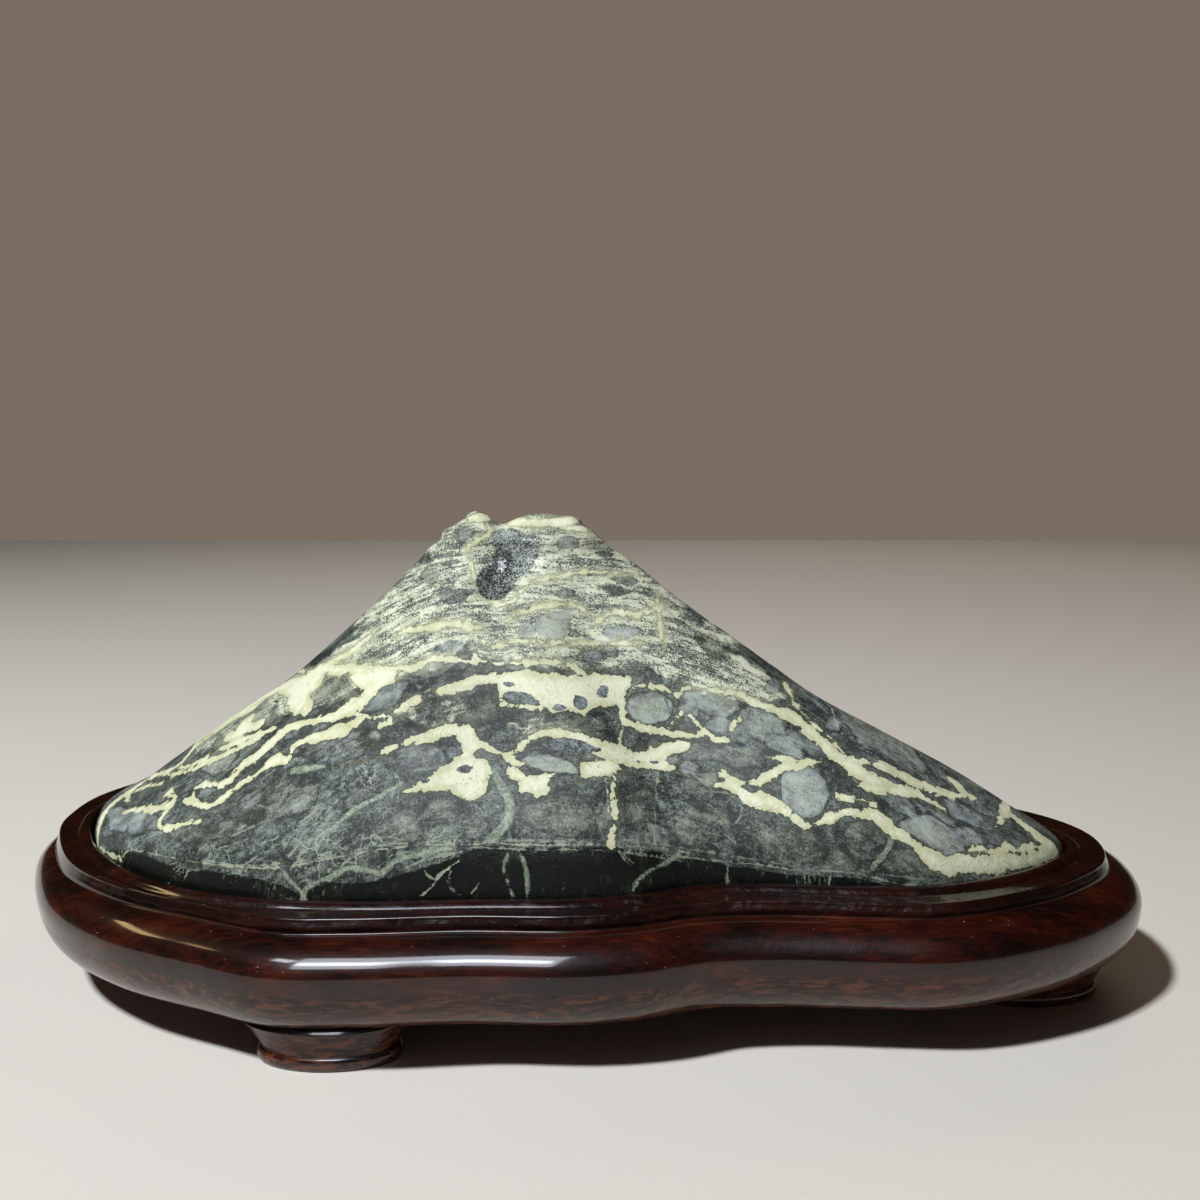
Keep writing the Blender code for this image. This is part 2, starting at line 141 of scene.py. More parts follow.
# ---- cream marks: (across, down, width) in view units ----
CREAM_STROKES = {
    "left_edge_upper": [(152, 777, 5), (175, 767, 7), (189, 754, 6), (202, 737, 7), (215, 726, 8),
                        (231, 718, 11), (253, 707, 13)],
    "left_edge_under": [(164, 775, 3), (189, 771, 3), (210, 761, 5), (234, 750, 5), (258, 737, 8)],
    "left_long": [(194, 793, 2), (199, 786, 4), (221, 784, 7), (231, 778, 6), (245, 763, 9),
                  (264, 750, 10), (282, 733, 11), (296, 726, 7), (309, 722, 6), (328, 718, 8),
                  (344, 712, 11), (360, 702, 13), (376, 686, 11), (392, 680, 7)],
    "left_second": [(293, 746, 3), (309, 739, 6), (328, 735, 9), (344, 729, 11), (357, 723, 8),
                    (363, 718, 3)],
    "left_second_tail": [(256, 774, 2), (264, 769, 4), (274, 761, 10), (288, 758, 8),
                         (293, 746, 4)],
    "left_hook": [(186, 800, 3), (197, 805, 7), (210, 806, 4), (221, 800, 6), (231, 792, 5),
                  (245, 781, 4), (258, 774, 2)],
    "toe_net": [(124, 812, 3), (140, 809, 5), (156, 808, 6), (170, 806, 8), (159, 822, 4),
                (164, 828, 4), (178, 826, 4), (199, 821, 2)],
    "toe_spot": [(163, 796, 3), (170, 793, 7), (175, 797, 3)],
    "toe_edge": [(98, 846, 6), (98, 832, 9), (102, 818, 10), (110, 806, 9), (121, 797, 7),
                 (136, 787, 6), (152, 776, 5)],
    "toe_foot": [(100, 848, 3), (110, 855, 4), (121, 858, 4)],
    "left_edge_low": [(133, 792, 3), (148, 786, 4), (166, 783, 3)],
    "shoulder": [(296, 671, 2), (317, 672, 4), (344, 670, 5), (360, 670, 11), (382, 671, 13),
                 (395, 668, 5), (416, 668, 2), (435, 660, 2), (478, 663, 2)],
    "shoulder_side": [(206, 739, 4), (228, 722, 10), (250, 706, 12), (272, 692, 12), (292, 681, 10)],
    "shoulder_rise": [(292, 690, 6), (310, 676, 10), (330, 664, 8), (352, 650, 6), (374, 632, 4)],
    "left_middle": [(170, 768, 2), (190, 766, 4), (206, 758, 5)],
    "left_crossbar": [(222, 748, 5), (236, 742, 8), (250, 737, 6), (264, 732, 5), (274, 729, 3)],
    "left_crown": [(320, 668, 8), (336, 670, 9), (354, 668, 6)],
    "left_hem": [(196, 746, 4), (214, 733, 5), (232, 720, 6), (250, 708, 6), (270, 695, 6)],
    "thin_fork": [(357, 715, 2), (376, 717, 2), (392, 714, 5), (406, 707, 9), (416, 700, 6),
                  (420, 699, 2)],
    "thin_fork_low": [(380, 726, 2), (390, 721, 3)],
    "tongue": [(440, 690, 4), (456, 688, 7), (467, 683, 6), (478, 678, 8)],
    "loop": [(382, 753, 2), (398, 746, 2), (416, 739, 3), (435, 733, 8), (451, 730, 11),
             (467, 734, 13), (474, 745, 11), (467, 753, 9), (456, 758, 8)],
    "loop_top": [(444, 732.5, 5), (458, 732.5, 10), (466, 739, 13), (468, 747, 11),
                 (463, 755, 10)],
    "loop_thin": [(417.5, 743, 2.5), (428, 738, 4), (444, 734, 6)],
    "patch_left": [(442, 691, 3), (450, 688, 5), (463, 684, 8), (479, 680, 10), (495, 678, 10)],
    "patch_under": [(502, 704, 2), (519, 706, 2.5), (541, 708, 3)],
    "patch_stem": [(622, 707, 5), (625, 720, 6), (621, 736, 5), (620, 747, 3)],
    "long_thin": [(622, 718, 4), (637, 726, 5), (659, 730, 6), (680, 734, 4.5), (693, 735, 4),
                  (705.5, 732.5, 4), (715, 739, 5), (728, 740.5, 2.5)],
    "small_arch": [(669, 728, 4), (677, 718, 4), (688, 715, 4.5), (696, 722, 4),
                   (705.5, 731, 3.5)],
    "tick": [(731, 728, 2), (739, 718, 2.5)],
    "upper_line": [(625, 691, 1.4), (642.6, 686, 1.4), (664, 688, 1.4), (677, 695, 2.9),
                   (685.5, 688, 1.8), (701.6, 689, 1.8), (723, 691, 2.5), (742, 695, 2.9),
                   (760.6, 703, 4.3), (782, 713.7, 4.7), (798, 720, 5)],
    "middle_arch": [(474, 740, 4), (487, 747, 4), (498, 752.5, 5), (508.6, 754, 3), (519, 748.5, 4),
                    (530, 738, 7), (546, 732.5, 7), (565, 734, 8), (581, 738, 9),
                    (594, 744.5, 11), (608, 751, 13), (621, 755, 19), (637, 758, 13),
                    (653, 755, 13), (669, 750, 11), (683, 747, 11), (688, 744.5, 4)],
    "middle_tail": [(637, 766, 8), (648, 763, 8), (664, 766, 8), (672, 767, 6)],
    "right_thin": [(723, 775, 5), (731, 782, 5), (741.8, 784.7, 5.5), (755, 783, 5.5),
                   (768.6, 776.6, 6), (782, 768.6, 5), (798, 766, 3), (820.6, 760.6, 3)],
    "right_wedge": [(717.6, 784.7, 4), (731, 784.7, 7), (744.5, 794, 11), (755, 801, 16),
                    (768.6, 801, 13), (782, 809, 8), (792.7, 815.6, 9), (802, 823.6, 4),
                    (810, 826, 3)],
    "flank_main": [(700, 689.6, 2.5), (721, 692, 3), (740, 696, 5), (759, 704, 7), (778, 711, 8),
                   (794, 716, 11), (804.5, 726, 10), (818, 738, 10), (829, 750, 9),
                   (839, 758, 11), (853, 767, 15), (866, 777, 13), (882, 782, 11)],
    "flank_low": [(861, 786, 7), (877, 789, 7), (898, 790, 9), (914, 793, 8), (930, 801, 4),
                  (945, 810, 2)],
    "flank_high": [(831, 736.5, 2), (842, 752.6, 4), (855, 760.6, 5), (871.5, 763, 4),
                   (887.6, 768.6, 8), (903.7, 776.7, 8), (920, 784.7, 9), (936, 790, 8),
                   (952, 795.5, 6), (968, 795.5, 5), (976, 798, 3)],
    "flank_spike": [(949, 779, 3), (957, 784.7, 8), (965, 792.8, 8)],
    "flank_thin": [(785.8, 683, 3), (791, 696, 4), (802, 712, 4), (815, 725.8, 2.5),
                   (831, 738, 2.5)],
    "right_end": [(874, 804.8, 3), (861, 814, 5), (871.5, 814, 9), (885, 822, 11), (893, 830, 11),
                  (909, 839.7, 9), (922, 851.7, 11), (933, 859.8, 16), (946.6, 866.5, 16),
                  (962.6, 864, 18), (981, 863, 18), (1000, 864, 17), (1021.6, 862, 14),
                  (1040, 857, 12), (1056, 854, 10)],
    "right_rags": [(968, 852, 3), (980, 849, 5), (992, 853, 4), (1006, 847, 5), (1018, 851, 3),
                   (1030, 846, 5), (1040, 849, 3)],
    "right_link": [(807, 826, 2.5), (820.6, 822, 5), (834, 815.5, 9), (847, 814, 7),
                   (861, 813, 6)],
    "right_tick": [(772, 758, 2), (791, 759, 2)],
    "right_spot": [(839, 795.5, 6), (850, 798, 5), (861, 799.5, 3)],
    "right_crest": [(995, 801, 3), (1011, 814, 5), (1027, 827.6, 8), (1043, 841, 11),
                    (1056, 851.7, 10)],
    "under_arch": [(503, 754, 3), (511, 760, 4), (520, 765, 4)],
    "upright": [(616, 768.6, 2), (613.5, 790, 3), (615, 806, 4), (615.5, 822, 5),
                (612.5, 836, 4), (611, 844, 3)],
    "top_left_run": [(498, 606, 2.2), (514, 600, 2.9), (522.5, 590, 2.7), (539, 580, 2.2),
                     (563, 576, 1.4), (584, 571.6, 1.4), (604, 571.6, 1.4), (628.6, 573.7, 1.4)],
    "top_arch": [(506, 620.6, 2.2), (522.5, 612.5, 2.2), (543, 607, 2.5), (563, 605, 2.5),
                 (575.5, 606, 2.2), (584, 610, 2.2), (590, 616.5, 1.4)],
    "top_right_arch": [(596, 622.7, 2.2), (606, 616.5, 2.2), (620, 612.5, 2.5), (637, 614.5, 2.5),
                       (653, 610, 2.9), (665, 604, 1.8)],
    "top_left_low": [(455, 627, 2.2), (467, 626, 6.5), (480, 628, 3.6)],
    "top_left_side": [(488, 524.7, 2.9), (490, 533, 3.6), (477.5, 541, 2.9), (469, 549, 2.2),
                      (471, 563.5, 1.4), (477.5, 584, 1.8), (488, 596, 2.2), (498, 604, 2.2)],
    "top_right_upright": [(657, 592, 1.8), (659, 612.5, 2.2), (661, 633, 2.9), (662, 645, 1.4)],
    "upper_streak": [(400, 632, 3.6), (425, 628, 4.3), (450, 624, 4.3), (470, 622, 3.6)],
    "upper_wave": [(400, 673.7, 2.2), (426.5, 661, 2.2), (447, 657, 1.8), (467, 661, 1.8),
                   (481.6, 651, 2.2), (502, 645, 2.2), (522.5, 641, 2.2), (559, 643, 1.8),
                   (596, 644, 2.2), (641, 643, 2.2)],
    "upper_low": [(477.6, 659.5, 3.6), (494, 663.5, 3.6), (514, 663.5, 2.2), (563, 663.5, 2.2),
                  (584, 673.7, 2.9)],
}
CREAM_PATCHES = {
    "broad": [(498, 680), (502, 673.5), (519, 672), (541, 673.5), (551, 675), (578, 677.5),
              (594, 675), (621, 676), (629, 677.5), (630.6, 684), (626.5, 693.6), (624, 703),
              (616, 705.6), (609, 705.6), (594, 708), (584, 713.7), (567.6, 711), (551.5, 709.7),
              (541, 704), (525, 697.6), (514, 693.6), (507, 692), (500.6, 697.6), (498, 688)],
    "bird": [(404, 792.7), (420, 783), (439, 771), (452, 762), (460, 759), (468, 755),
             (476.5, 758), (487, 762), (490, 768.6), (488.5, 779), (486, 790), (479, 796.7),
             (468, 799.5), (460, 795), (450, 790), (433.6, 790), (420, 791.4)],
    "left_cluster": [(276, 690), (290, 680), (306, 674), (324, 672), (318, 686), (309, 696),
                     (312, 707), (303, 715), (290, 709), (287, 696)],
    "left_mass": [(220, 744), (229, 734), (236, 731), (242, 722), (254, 715), (252, 723), (264, 719),
                  (258, 730), (246, 732), (241, 739), (230, 741)],
    "left_shelf": [(352, 676), (366, 668), (386, 666), (396, 672), (388, 682), (372, 686),
                   (360, 688)],
    "heel": [(581, 760.6), (589, 762), (602, 760.6), (616, 760.6), (621, 768.6), (616, 771),
             (602, 774), (592, 778), (584, 779), (580, 775)],
    "boot": [(506, 771), (514, 766), (524.7, 764.6), (519, 768.6), (524.7, 774), (530, 776.6),
             (549, 774), (554, 776.6), (549, 782), (547.4, 791.4), (541, 794), (530, 792.7),
             (520.7, 792.7), (519, 786), (514, 779), (507, 778)],
    "summit_ridge": [(500, 521), (520, 518), (540, 520), (560, 517), (574, 518), (583, 525),
                     (588, 531), (572, 530), (556, 527), (540, 526), (522, 525), (508, 524)],
    "left_horn": [(466, 519), (474, 515), (484, 515), (489, 519), (478, 521)],
}

# ---- pale green marks, and the lines that edge the dark foot of the stone ----
PALE_STROKES = {
    "leaf_stem": [(304, 904, 5), (303, 894, 5), (310, 886, 3), (326, 878, 2)],
    "leaf_arm": [(303, 893, 4), (294, 885, 2.4), (284, 874, 1.6)],
    "leaf_side": [(300, 902, 3), (292, 900, 2), (281, 896, 1.4)],
    "left_lens": [(293, 771, 4), (306, 769, 5), (324, 766, 3)],
    "below_bird": [(492.5, 771, 5), (500.6, 784.7, 6), (508.6, 801, 8), (508.6, 817, 8),
                   (500.6, 830, 8), (490, 839.6, 6)],
    "slant": [(317, 838.5, 2), (338.7, 822, 3.4), (354.8, 809, 4), (376, 798, 3), (403, 782, 2)],
    "right_drop": [(891.6, 835.6, 4), (887.6, 849, 4), (877, 862, 4), (871.5, 869, 2)],
    "web_arm": [(328, 879, 5), (349, 868, 4), (371, 871, 4), (381.6, 873, 5), (397.7, 860, 4),
                (424, 853, 4), (450, 848, 4)],
    "foot_slant": [(680, 854, 4), (668, 861, 3), (650, 871, 2), (638, 881, 3), (631, 896, 3)],
    "foot_fork": [(518, 849, 1.6), (526, 870, 2), (528, 899, 2.6)],
    "foot_fork_left": [(510, 850, 1.2), (504, 868, 1.6), (509, 885, 2), (513, 898, 3)],
}

# Top edge of the dark foot, from left to right: (across, down).
DARK_FOOT_EDGE = [
    (96, 852), (108, 850), (121, 850), (133, 853), (150, 858), (172, 866), (190, 871), (212, 872),
    (240, 876), (262, 880), (282, 886),
    (300, 893), (318, 886), (335, 882), (355, 884), (382, 880), (405, 874), (426, 868),
    (448, 860), (469, 852), (487, 846), (519, 848), (541, 849), (562, 847), (583.7, 847.5),
    (610.5, 848), (637, 850), (660, 853), (680, 858), (696, 859), (728.5, 866), (760.6, 870),
    (800, 876), (855, 878), (890, 886), (933, 890), (977, 888),
]

# ---- pebbles in the stone: (across, down, half width, half height, turn, tone, blueness) ----
# Tone runs from 0, nearly black, to 1, the palest.
PEBBLES = [
    (804.5, 791, 27, 28, 0, 0.70, 0.7), (936, 835.6, 31, 15, 25, 0.66, 0.6),
    (898, 803, 24, 9, 35, 0.50, 1.0), (1000, 833, 32, 14, 25, 0.40, 1.0),
    (866, 743, 13, 6, 25, 0.55, 0.8), (761.6, 723, 27, 16, 12, 0.52, 0.6),
    (785.7, 744.5, 21, 11, 10, 0.56, 0.7), (812.5, 744.5, 12, 12, 0, 0.46, 0.9),
    (650.6, 707, 25, 19, 0, 0.74, 0.5), (709.6, 701.6, 28, 15, 8, 0.62, 0.7),
    (717.6, 725.8, 15, 10, 0, 0.50, 0.8), (685.5, 725.8, 10, 5, 0, 0.30, 0.7),
    (688, 768.6, 12, 8, 0, 0.60, 0.5), (551.5, 766, 30, 9.5, 10, 0.78, 0.4),
    (563.5, 782, 9.5, 9.5, 0, 0.28, 0.5), (420, 757, 31, 16, 0, 0.40, 0.9),
    (441.6, 811.5, 20, 17, 0, 0.33, 0.3), (473.8, 825, 14, 14, 0, 0.33, 0.3),
    (538, 771, 11, 6, 0, 0.20, 0.6), (332, 692.5, 24, 19, -40, 0.30, 0.0),
    (266, 715, 18, 15, -20, 0.36, 0.3), (218, 760.8, 20, 12, -30, 0.62, 0.3),
    (381.6, 699, 26, 12, -30, 0.46, 1.0), (373.6, 735, 8, 5, 0, 0.66, 0.3),
    (296, 753, 8, 6, -30, 0.50, 0.7), (231.5, 811.7, 16, 13, -30, 0.34, 0.8),
    (290, 731, 10, 7, -30, 0.50, 1.0), (526.5, 631, 12, 11, 0, 0.70, 0.4),
    (553, 625, 19, 16, 0, 0.76, 0.4), (620.5, 633, 21, 9, -6, 0.74, 0.7),
    (430.6, 576, 10, 10, 0, 0.60, 0.3), (567, 596, 12, 6, 0, 0.55, 0.4),
    (455, 597, 20, 9, -8, 0.36, 0.7), (465, 535, 12, 8, -20, 0.48, 0.6),
    (616, 590, 16, 6, 6, 0.26, 0.6), (596, 573.6, 14, 3, 0, 0.26, 0.5),
    (624.5, 580, 16, 5, 8, 0.32, 0.6), (604, 555, 14, 4, 10, 0.26, 0.6),
    (569, 543, 14, 7, 0, 0.42, 0.5), (430.6, 667.6, 28, 9, -12, 0.44, 0.0),
    (473, 671.6, 18, 7, -30, 0.30, 0.4), (449, 647, 16, 7, -8, 0.44, 0.8),
    (516, 668, 15, 4, 0, 0.36, 0.1), (543, 669.6, 18, 4, 0, 0.32, 0.2),
    (600, 653, 22, 8, 0, 0.30, 0.9), (612, 670.6, 18, 3, 0, 0.24, 0.6),
    (712, 646, 26, 8, 38, 0.30, 0.2), (771, 688, 9, 9, 0, 0.52, 0.9),
    (875, 736, 62, 13, 38, 0.47, 0.8), (905, 752, 34, 8, 38, 0.52, 0.6),
    (840, 706, 40, 9, 42, 0.42, 1.0), (922, 800, 18, 6, 30, 0.40, 0.9),
    (868, 836, 26, 16, 10, 0.34, 0.1), (905, 862, 22, 14, 0, 0.26, 0.0),
    (790, 845, 34, 18, 0, 0.32, 0.1), (700, 825, 34, 22, 0, 0.36, 0.1),
    (560, 815, 40, 22, 0, 0.33, 0.2), (640, 810, 20, 24, 0, 0.26, 0.3),
    (138, 820, 14, 18, 20, 0.56, 1.0), (190, 832, 22, 8, -10, 0.36, 0.6),
    (119, 818, 13, 14, 20, 0.62, 1.0), (113, 842, 14, 7, 24, 0.06, 1.0),
    (152, 822, 12, 9, 0, 0.44, 0.8), (205, 790, 12, 6, -30, 0.50, 1.0),
    (250, 800, 20, 9, -30, 0.48, 1.0), (226, 830, 24, 10, -14, 0.42, 0.6),
    (300, 800, 26, 12, -36, 0.40, 0.6), (282, 780, 18, 7, -34, 0.30, 0.4),
    (320, 750, 20, 8, -22, 0.34, 0.8), (404, 735, 16, 12, 0, 0.36, 0.6),
    (455, 712, 26, 14, -10, 0.34, 0.2), (505, 690, 12, 12, 0, 0.24, 0.2),
    (555, 722, 40, 12, 0, 0.30, 0.1), (590, 726, 20, 9, 0, 0.30, 0.1),
    (672, 760, 10, 7, 0, 0.46, 0.4), (700, 752, 26, 10, 0, 0.36, 0.5),
    (740, 757, 26, 10, 6, 0.34, 0.5), (738, 777, 16, 5, 8, 0.30, 0.6),
    (775, 762, 18, 8, 8, 0.32, 0.6), (700, 786, 24, 14, 0, 0.40, 0.3),
    (736, 738, 18, 8, 0, 0.44, 0.7), (833, 722, 10, 8, 20, 0.52, 0.8),
    (845, 780, 10, 10, 0, 0.30, 0.6), (876, 812, 10, 6, 20, 0.24, 0.4),
    (960, 812, 24, 8, 30, 0.46, 1.0), (970, 838, 20, 10, 25, 0.52, 0.9),
    (930, 868, 16, 10, 0, 0.26, 0.1), (840, 862, 26, 12, 0, 0.30, 0.1),
    (752, 832, 22, 14, 0, 0.34, 0.1), (610, 822, 12, 18, 0, 0.40, 0.4),
    (400, 830, 30, 16, -12, 0.34, 0.4), (360, 800, 20, 12, -30, 0.34, 0.5),
    (520, 722, 14, 8, 0, 0.30, 0.6), (482, 712, 17, 25, 0, 0.24, 0.0),
    (536, 748, 24, 8, 4, 0.22, 0.7), (690, 712, 9, 12, 0, 0.62, 0.5), (730, 706, 12, 11, 0, 0.58, 0.2),
    (742, 730, 15, 9, 0, 0.40, 0.9), (718, 742, 15, 6, 0, 0.44, 0.7), (772, 727, 13, 8, 25, 0.60, 0.3),
    (797, 736, 10, 7, 30, 0.40, 0.9), (756, 747, 16, 7, 5, 0.34, 0.8), (820, 753, 11, 6, 25, 0.30, 0.8),
    (668, 742, 22, 8, 0, 0.22, 0.6), (655, 716, 10, 6, 0, 0.44, 0.6),
]
# Dark bits set in the cream.
SPECKS = [
    (581, 701.5, 8, 7, 20, 0.26, 0.7), (603.6, 692, 6, 5, 30, 0.40, 0.6),
    (508, 686, 6, 2.5, 0, 0.34, 0.3), (559.5, 705.6, 6, 3.2, 0, 0.34, 0.3),
    (520, 699, 20, 5, 10, 0.30, 0.2), (424, 783, 4.5, 3.2, 0, 0.18, 0.5),
    (466, 768.6, 7, 4.5, 0, 0.18, 0.5), (567.6, 745.5, 26, 7, 4, 0.26, 0.6),
    (452, 750, 8, 6, 0, 0.22, 0.5), (640, 762, 4, 2, 0, 0.2, 0.5),
    (655, 762, 3, 1.6, 0, 0.2, 0.5), (594, 749, 5, 2.5, 0, 0.2, 0.5),
]

# ---- thin veins: points with a width, and a tone from 0, dark, to 1, cream ----
THIN_VEINS = [
    (0.74, 1.5, [(133, 850), (163, 856), (197, 862), (241, 867), (282, 867), (314, 862), (343, 856),
                 (378, 850), (410, 846), (439, 845), (478, 844), (487, 842), (519, 845), (541, 845),
                 (584, 844.5), (612, 845), (640, 847), (664, 850), (690, 853)]),
    (0.66, 1.1, [(186, 856), (225, 864), (260, 865), (298, 862), (325, 857), (350, 852), (385, 845),
                 (426, 842), (480, 841), (530, 841), (584, 842), (640, 844)]),
    (0.56, 1.1, [(487, 838), (541, 840), (600, 840.5), (650, 843), (700, 851), (745, 860)]),
    (0.68, 1.6, [(637, 850), (664, 854), (690, 858), (728, 862), (760, 865), (800, 870), (855, 873),
                 (890, 882), (933, 887), (977, 883), (1020, 874)]),
    (0.52, 1.1, [(700, 850), (740, 857), (790, 865), (850, 869), (893, 876), (940, 881)]),
    (0.60, 1.2, [(450, 848), (487, 848), (530, 850), (600, 850), (650, 856), (690, 863)]),
    (0.58, 0.9, [(330, 868), (345, 862), (362, 863), (382, 858), (402, 853), (426, 851)]),
    (0.64, 1.2, [(328, 880), (345, 870), (362, 869), (378, 872), (392, 864), (410, 858), (440, 852)]),
    (0.66, 1.2, [(282, 865), (298, 846), (314, 827), (329, 810), (343, 795), (369, 767)]),
    (0.58, 1, [(170, 865), (198, 851), (225, 839), (269, 820), (295, 811)]),
    (0.62, 1.1, [(244, 852), (262, 843), (282, 835), (314, 811), (334, 788)]),
    (0.55, 0.9, [(250, 801), (266, 808), (282, 811), (314, 807), (336, 796)]),
    (0.60, 0.9, [(268, 862), (290, 838), (318, 806), (352, 776)]),
    (0.58, 0.9, [(330, 862), (352, 846), (380, 832), (410, 818), (436, 810)]),
    (0.62, 1.3, [(658, 756), (657, 775), (656, 795), (655, 820), (654, 846)]),
    (0.58, 1.4, [(629, 804), (638, 814), (648, 823), (661, 839), (677, 852)]),
    (0.56, 1.3, [(702, 801), (718, 811), (728, 827), (728, 839)]),
    (0.62, 1.2, [(452, 868), (449, 876), (450, 884), (459, 897)]),
    (0.55, 1.0, [(565, 881), (563, 889), (561, 897)]),
    (0.60, 1.2, [(622, 852), (628, 858), (635, 865)]),
    (0.60, 0.9, [(234, 866), (235, 874), (236, 884)]),
    (0.56, 0.9, [(183, 881), (187, 874), (189, 871), (212, 868)]),
    (0.52, 1.2, [(790, 700), (810, 712), (832, 727), (860, 743), (890, 760)]),
    (0.30, 1.4, [(800, 690), (830, 712), (866, 738), (910, 764), (950, 786)]),
    (0.28, 1.3, [(840, 722), (870, 746), (900, 764), (930, 778)]),
    (0.55, 1.6, [(288, 857), (309, 828), (328, 804), (341, 787.6), (349, 782)]),
    (0.60, 1.2, [(293, 862.6), (317, 833), (338.7, 806), (346.8, 793)]),
    (0.60, 1.2, [(245, 865), (263.7, 852), (288, 838.5), (301, 833)]),
    (0.70, 2.0, [(403, 868), (424.5, 860), (446, 854.6), (467, 850.6)]),
    (0.80, 2.2, [(122, 857), (127, 852), (133, 848)]),
    (0.75, 2.0, [(658.6, 771), (656, 790)]),
    (0.62, 2.0, [(632, 798), (642.6, 814), (653, 827.6), (654.7, 846)]),
    (0.85, 2.2, [(460, 860), (440, 875), (431, 888), (418, 898)]),
    (0.70, 1.6, [(480, 880), (476, 888), (470, 895)]),
    (0.60, 1.4, [(728, 862), (727, 885)]),
    (0.75, 1.8, [(803, 874), (806, 884), (808, 893)]),
    (0.65, 1.6, [(830, 876), (828, 890)]),
    (0.70, 1.8, [(423, 868), (432, 880), (438, 876), (447, 868)]),
    (0.60, 1.5, [(446, 880), (452, 890), (462, 896)]),
    (0.55, 1.2, [(616, 846), (624, 858), (632, 866)]),
    (0.95, 1.8, [(604, 766), (607, 790), (609, 815)]),
    (0.75, 1.8, [(830, 700), (834, 716), (838, 728), (843, 736)]),
    (0.65, 1.2, [(170, 872), (178, 866), (182, 862)]),
    (0.65, 1.2, [(168, 885), (173, 876), (180, 868)]),
    (0.10, 1.8, [(690, 742), (702, 738), (706, 742)]),
    (0.12, 1.5, [(662, 694), (668, 706), (672, 720)]),
    (0.12, 1.4, [(735, 716), (744, 706), (748, 700)]),
    (0.15, 1.5, [(846, 776), (858, 786), (868, 796), (876, 803)]),
    (0.62, 1.6, [(851, 776), (862, 786), (872, 792), (880, 801)]),
    (0.55, 1.4, [(720, 745), (745, 752), (770, 757), (800, 760)]),
    (0.60, 1.4, [(590, 795), (598, 803), (606, 806)]),
    (0.15, 1.6, [(486, 722), (488, 742), (480, 760)]),
    (0.45, 1.4, [(700, 800), (716, 792), (735, 797), (742, 812), (733, 826)]),
    (0.55, 1.3, [(540, 790), (549, 800), (548, 815), (556, 830)]),
    (0.55, 1.3, [(470, 800), (484, 815), (486, 832)]),
    (0.50, 1.3, [(425, 800), (424, 822), (430, 840)]),
    (0.50, 1.2, [(820, 835), (822, 850), (815, 862)]),
    (0.48, 1.2, [(760, 830), (775, 848), (790, 858)]),
    (0.60, 1, [(340, 850), (365, 838), (390, 836), (415, 826)]),
    (0.50, 0.9, [(265, 800), (290, 790), (315, 786), (340, 776)]),
    (0.50, 0.9, [(255, 830), (280, 815), (300, 800)]),
    (0.55, 1.1, [(212, 850), (240, 842), (262, 830)]),
]

# ---- soft regions, as seen: (across, down, half width, half height, turn, strength) ----
SPECKLED = [
    (540, 580, 130, 75, 0, 1.0), (600, 640, 150, 32, 0, 1.0), (700, 665, 95, 26, 20, 1.0),
    (430, 625, 95, 42, -32, 1.0), (350, 668, 60, 22, -38, 0.9), (300, 690, 40, 18, -36, 0.6),
    (462, 545, 40, 34, -40, 1.0), (400, 600, 60, 26, -42, 1.0), (240, 722, 60, 14, -34, 0.7),
    (330, 672, 60, 16, -38, 1.0), (600, 545, 30, 26, 30, 1.0),
    (560, 725, 62, 12, 0, 0.35), (430, 705, 50, 26, 0, 0.35), (640, 600, 60, 40, 40, 1.0),
]
WEBBED = [
    (330, 855, 90, 28, -4, 1.0), (420, 850, 60, 20, -6, 0.9), (370, 815, 80, 45, -20, 0.6),
    (240, 860, 70, 18, 4, 0.8), (460, 820, 60, 40, 0, 0.35), (210, 885, 55, 12, 8, 0.7),
]
STRIATED = [
    (868, 735, 92, 26, 38, 1.0), (925, 800, 55, 30, 30, 0.8), (985, 825, 60, 26, 32, 0.9),
    (300, 815, 60, 30, -35, 0.5), (700, 815, 60, 40, 0, 0.5),
    (310, 752, 90, 26, -34, 0.8), (190, 800, 70, 26, -28, 0.8), (150, 830, 60, 20, 0, 0.6),
]
# The pit and the scoop below the summit. Their colour is speckled with painted glints, and their relief
# is rougher.
PITTED = [(494, 583, 20, 20, 0, 1.0), (504, 561, 15, 18, -30, 0.55)]
HOLLOW = [(516, 560, 38, 19, -48, 1.0), (508, 541, 20, 15, 0, 1.0)]
POLISHED = [
    (124, 818, 7, 22, 6, 1.0), (366, 779, 12, 20, 0, 0.8), (420, 712, 50, 34, -10, 0.6),
    (512, 552, 36, 30, -30, 0.8), (496, 578, 22, 24, 0, 0.8), (682, 783, 8, 4, 0, 1.0),
    (470, 600, 40, 60, 0, 0.2),
]
RUSTY = [
    (355, 762, 16, 3.5, 2, 1.0), (360, 735, 26, 22, 0, 0.35), (488, 700, 12, 26, 0, 0.35),
    (270, 800, 40, 20, -30, 0.35), (990, 860, 60, 14, 0, 0.75), (520, 610, 40, 6, -20, 0.45),
    (450, 790, 40, 8, 0, 0.2), (590, 600, 60, 30, 0, 0.15),
]

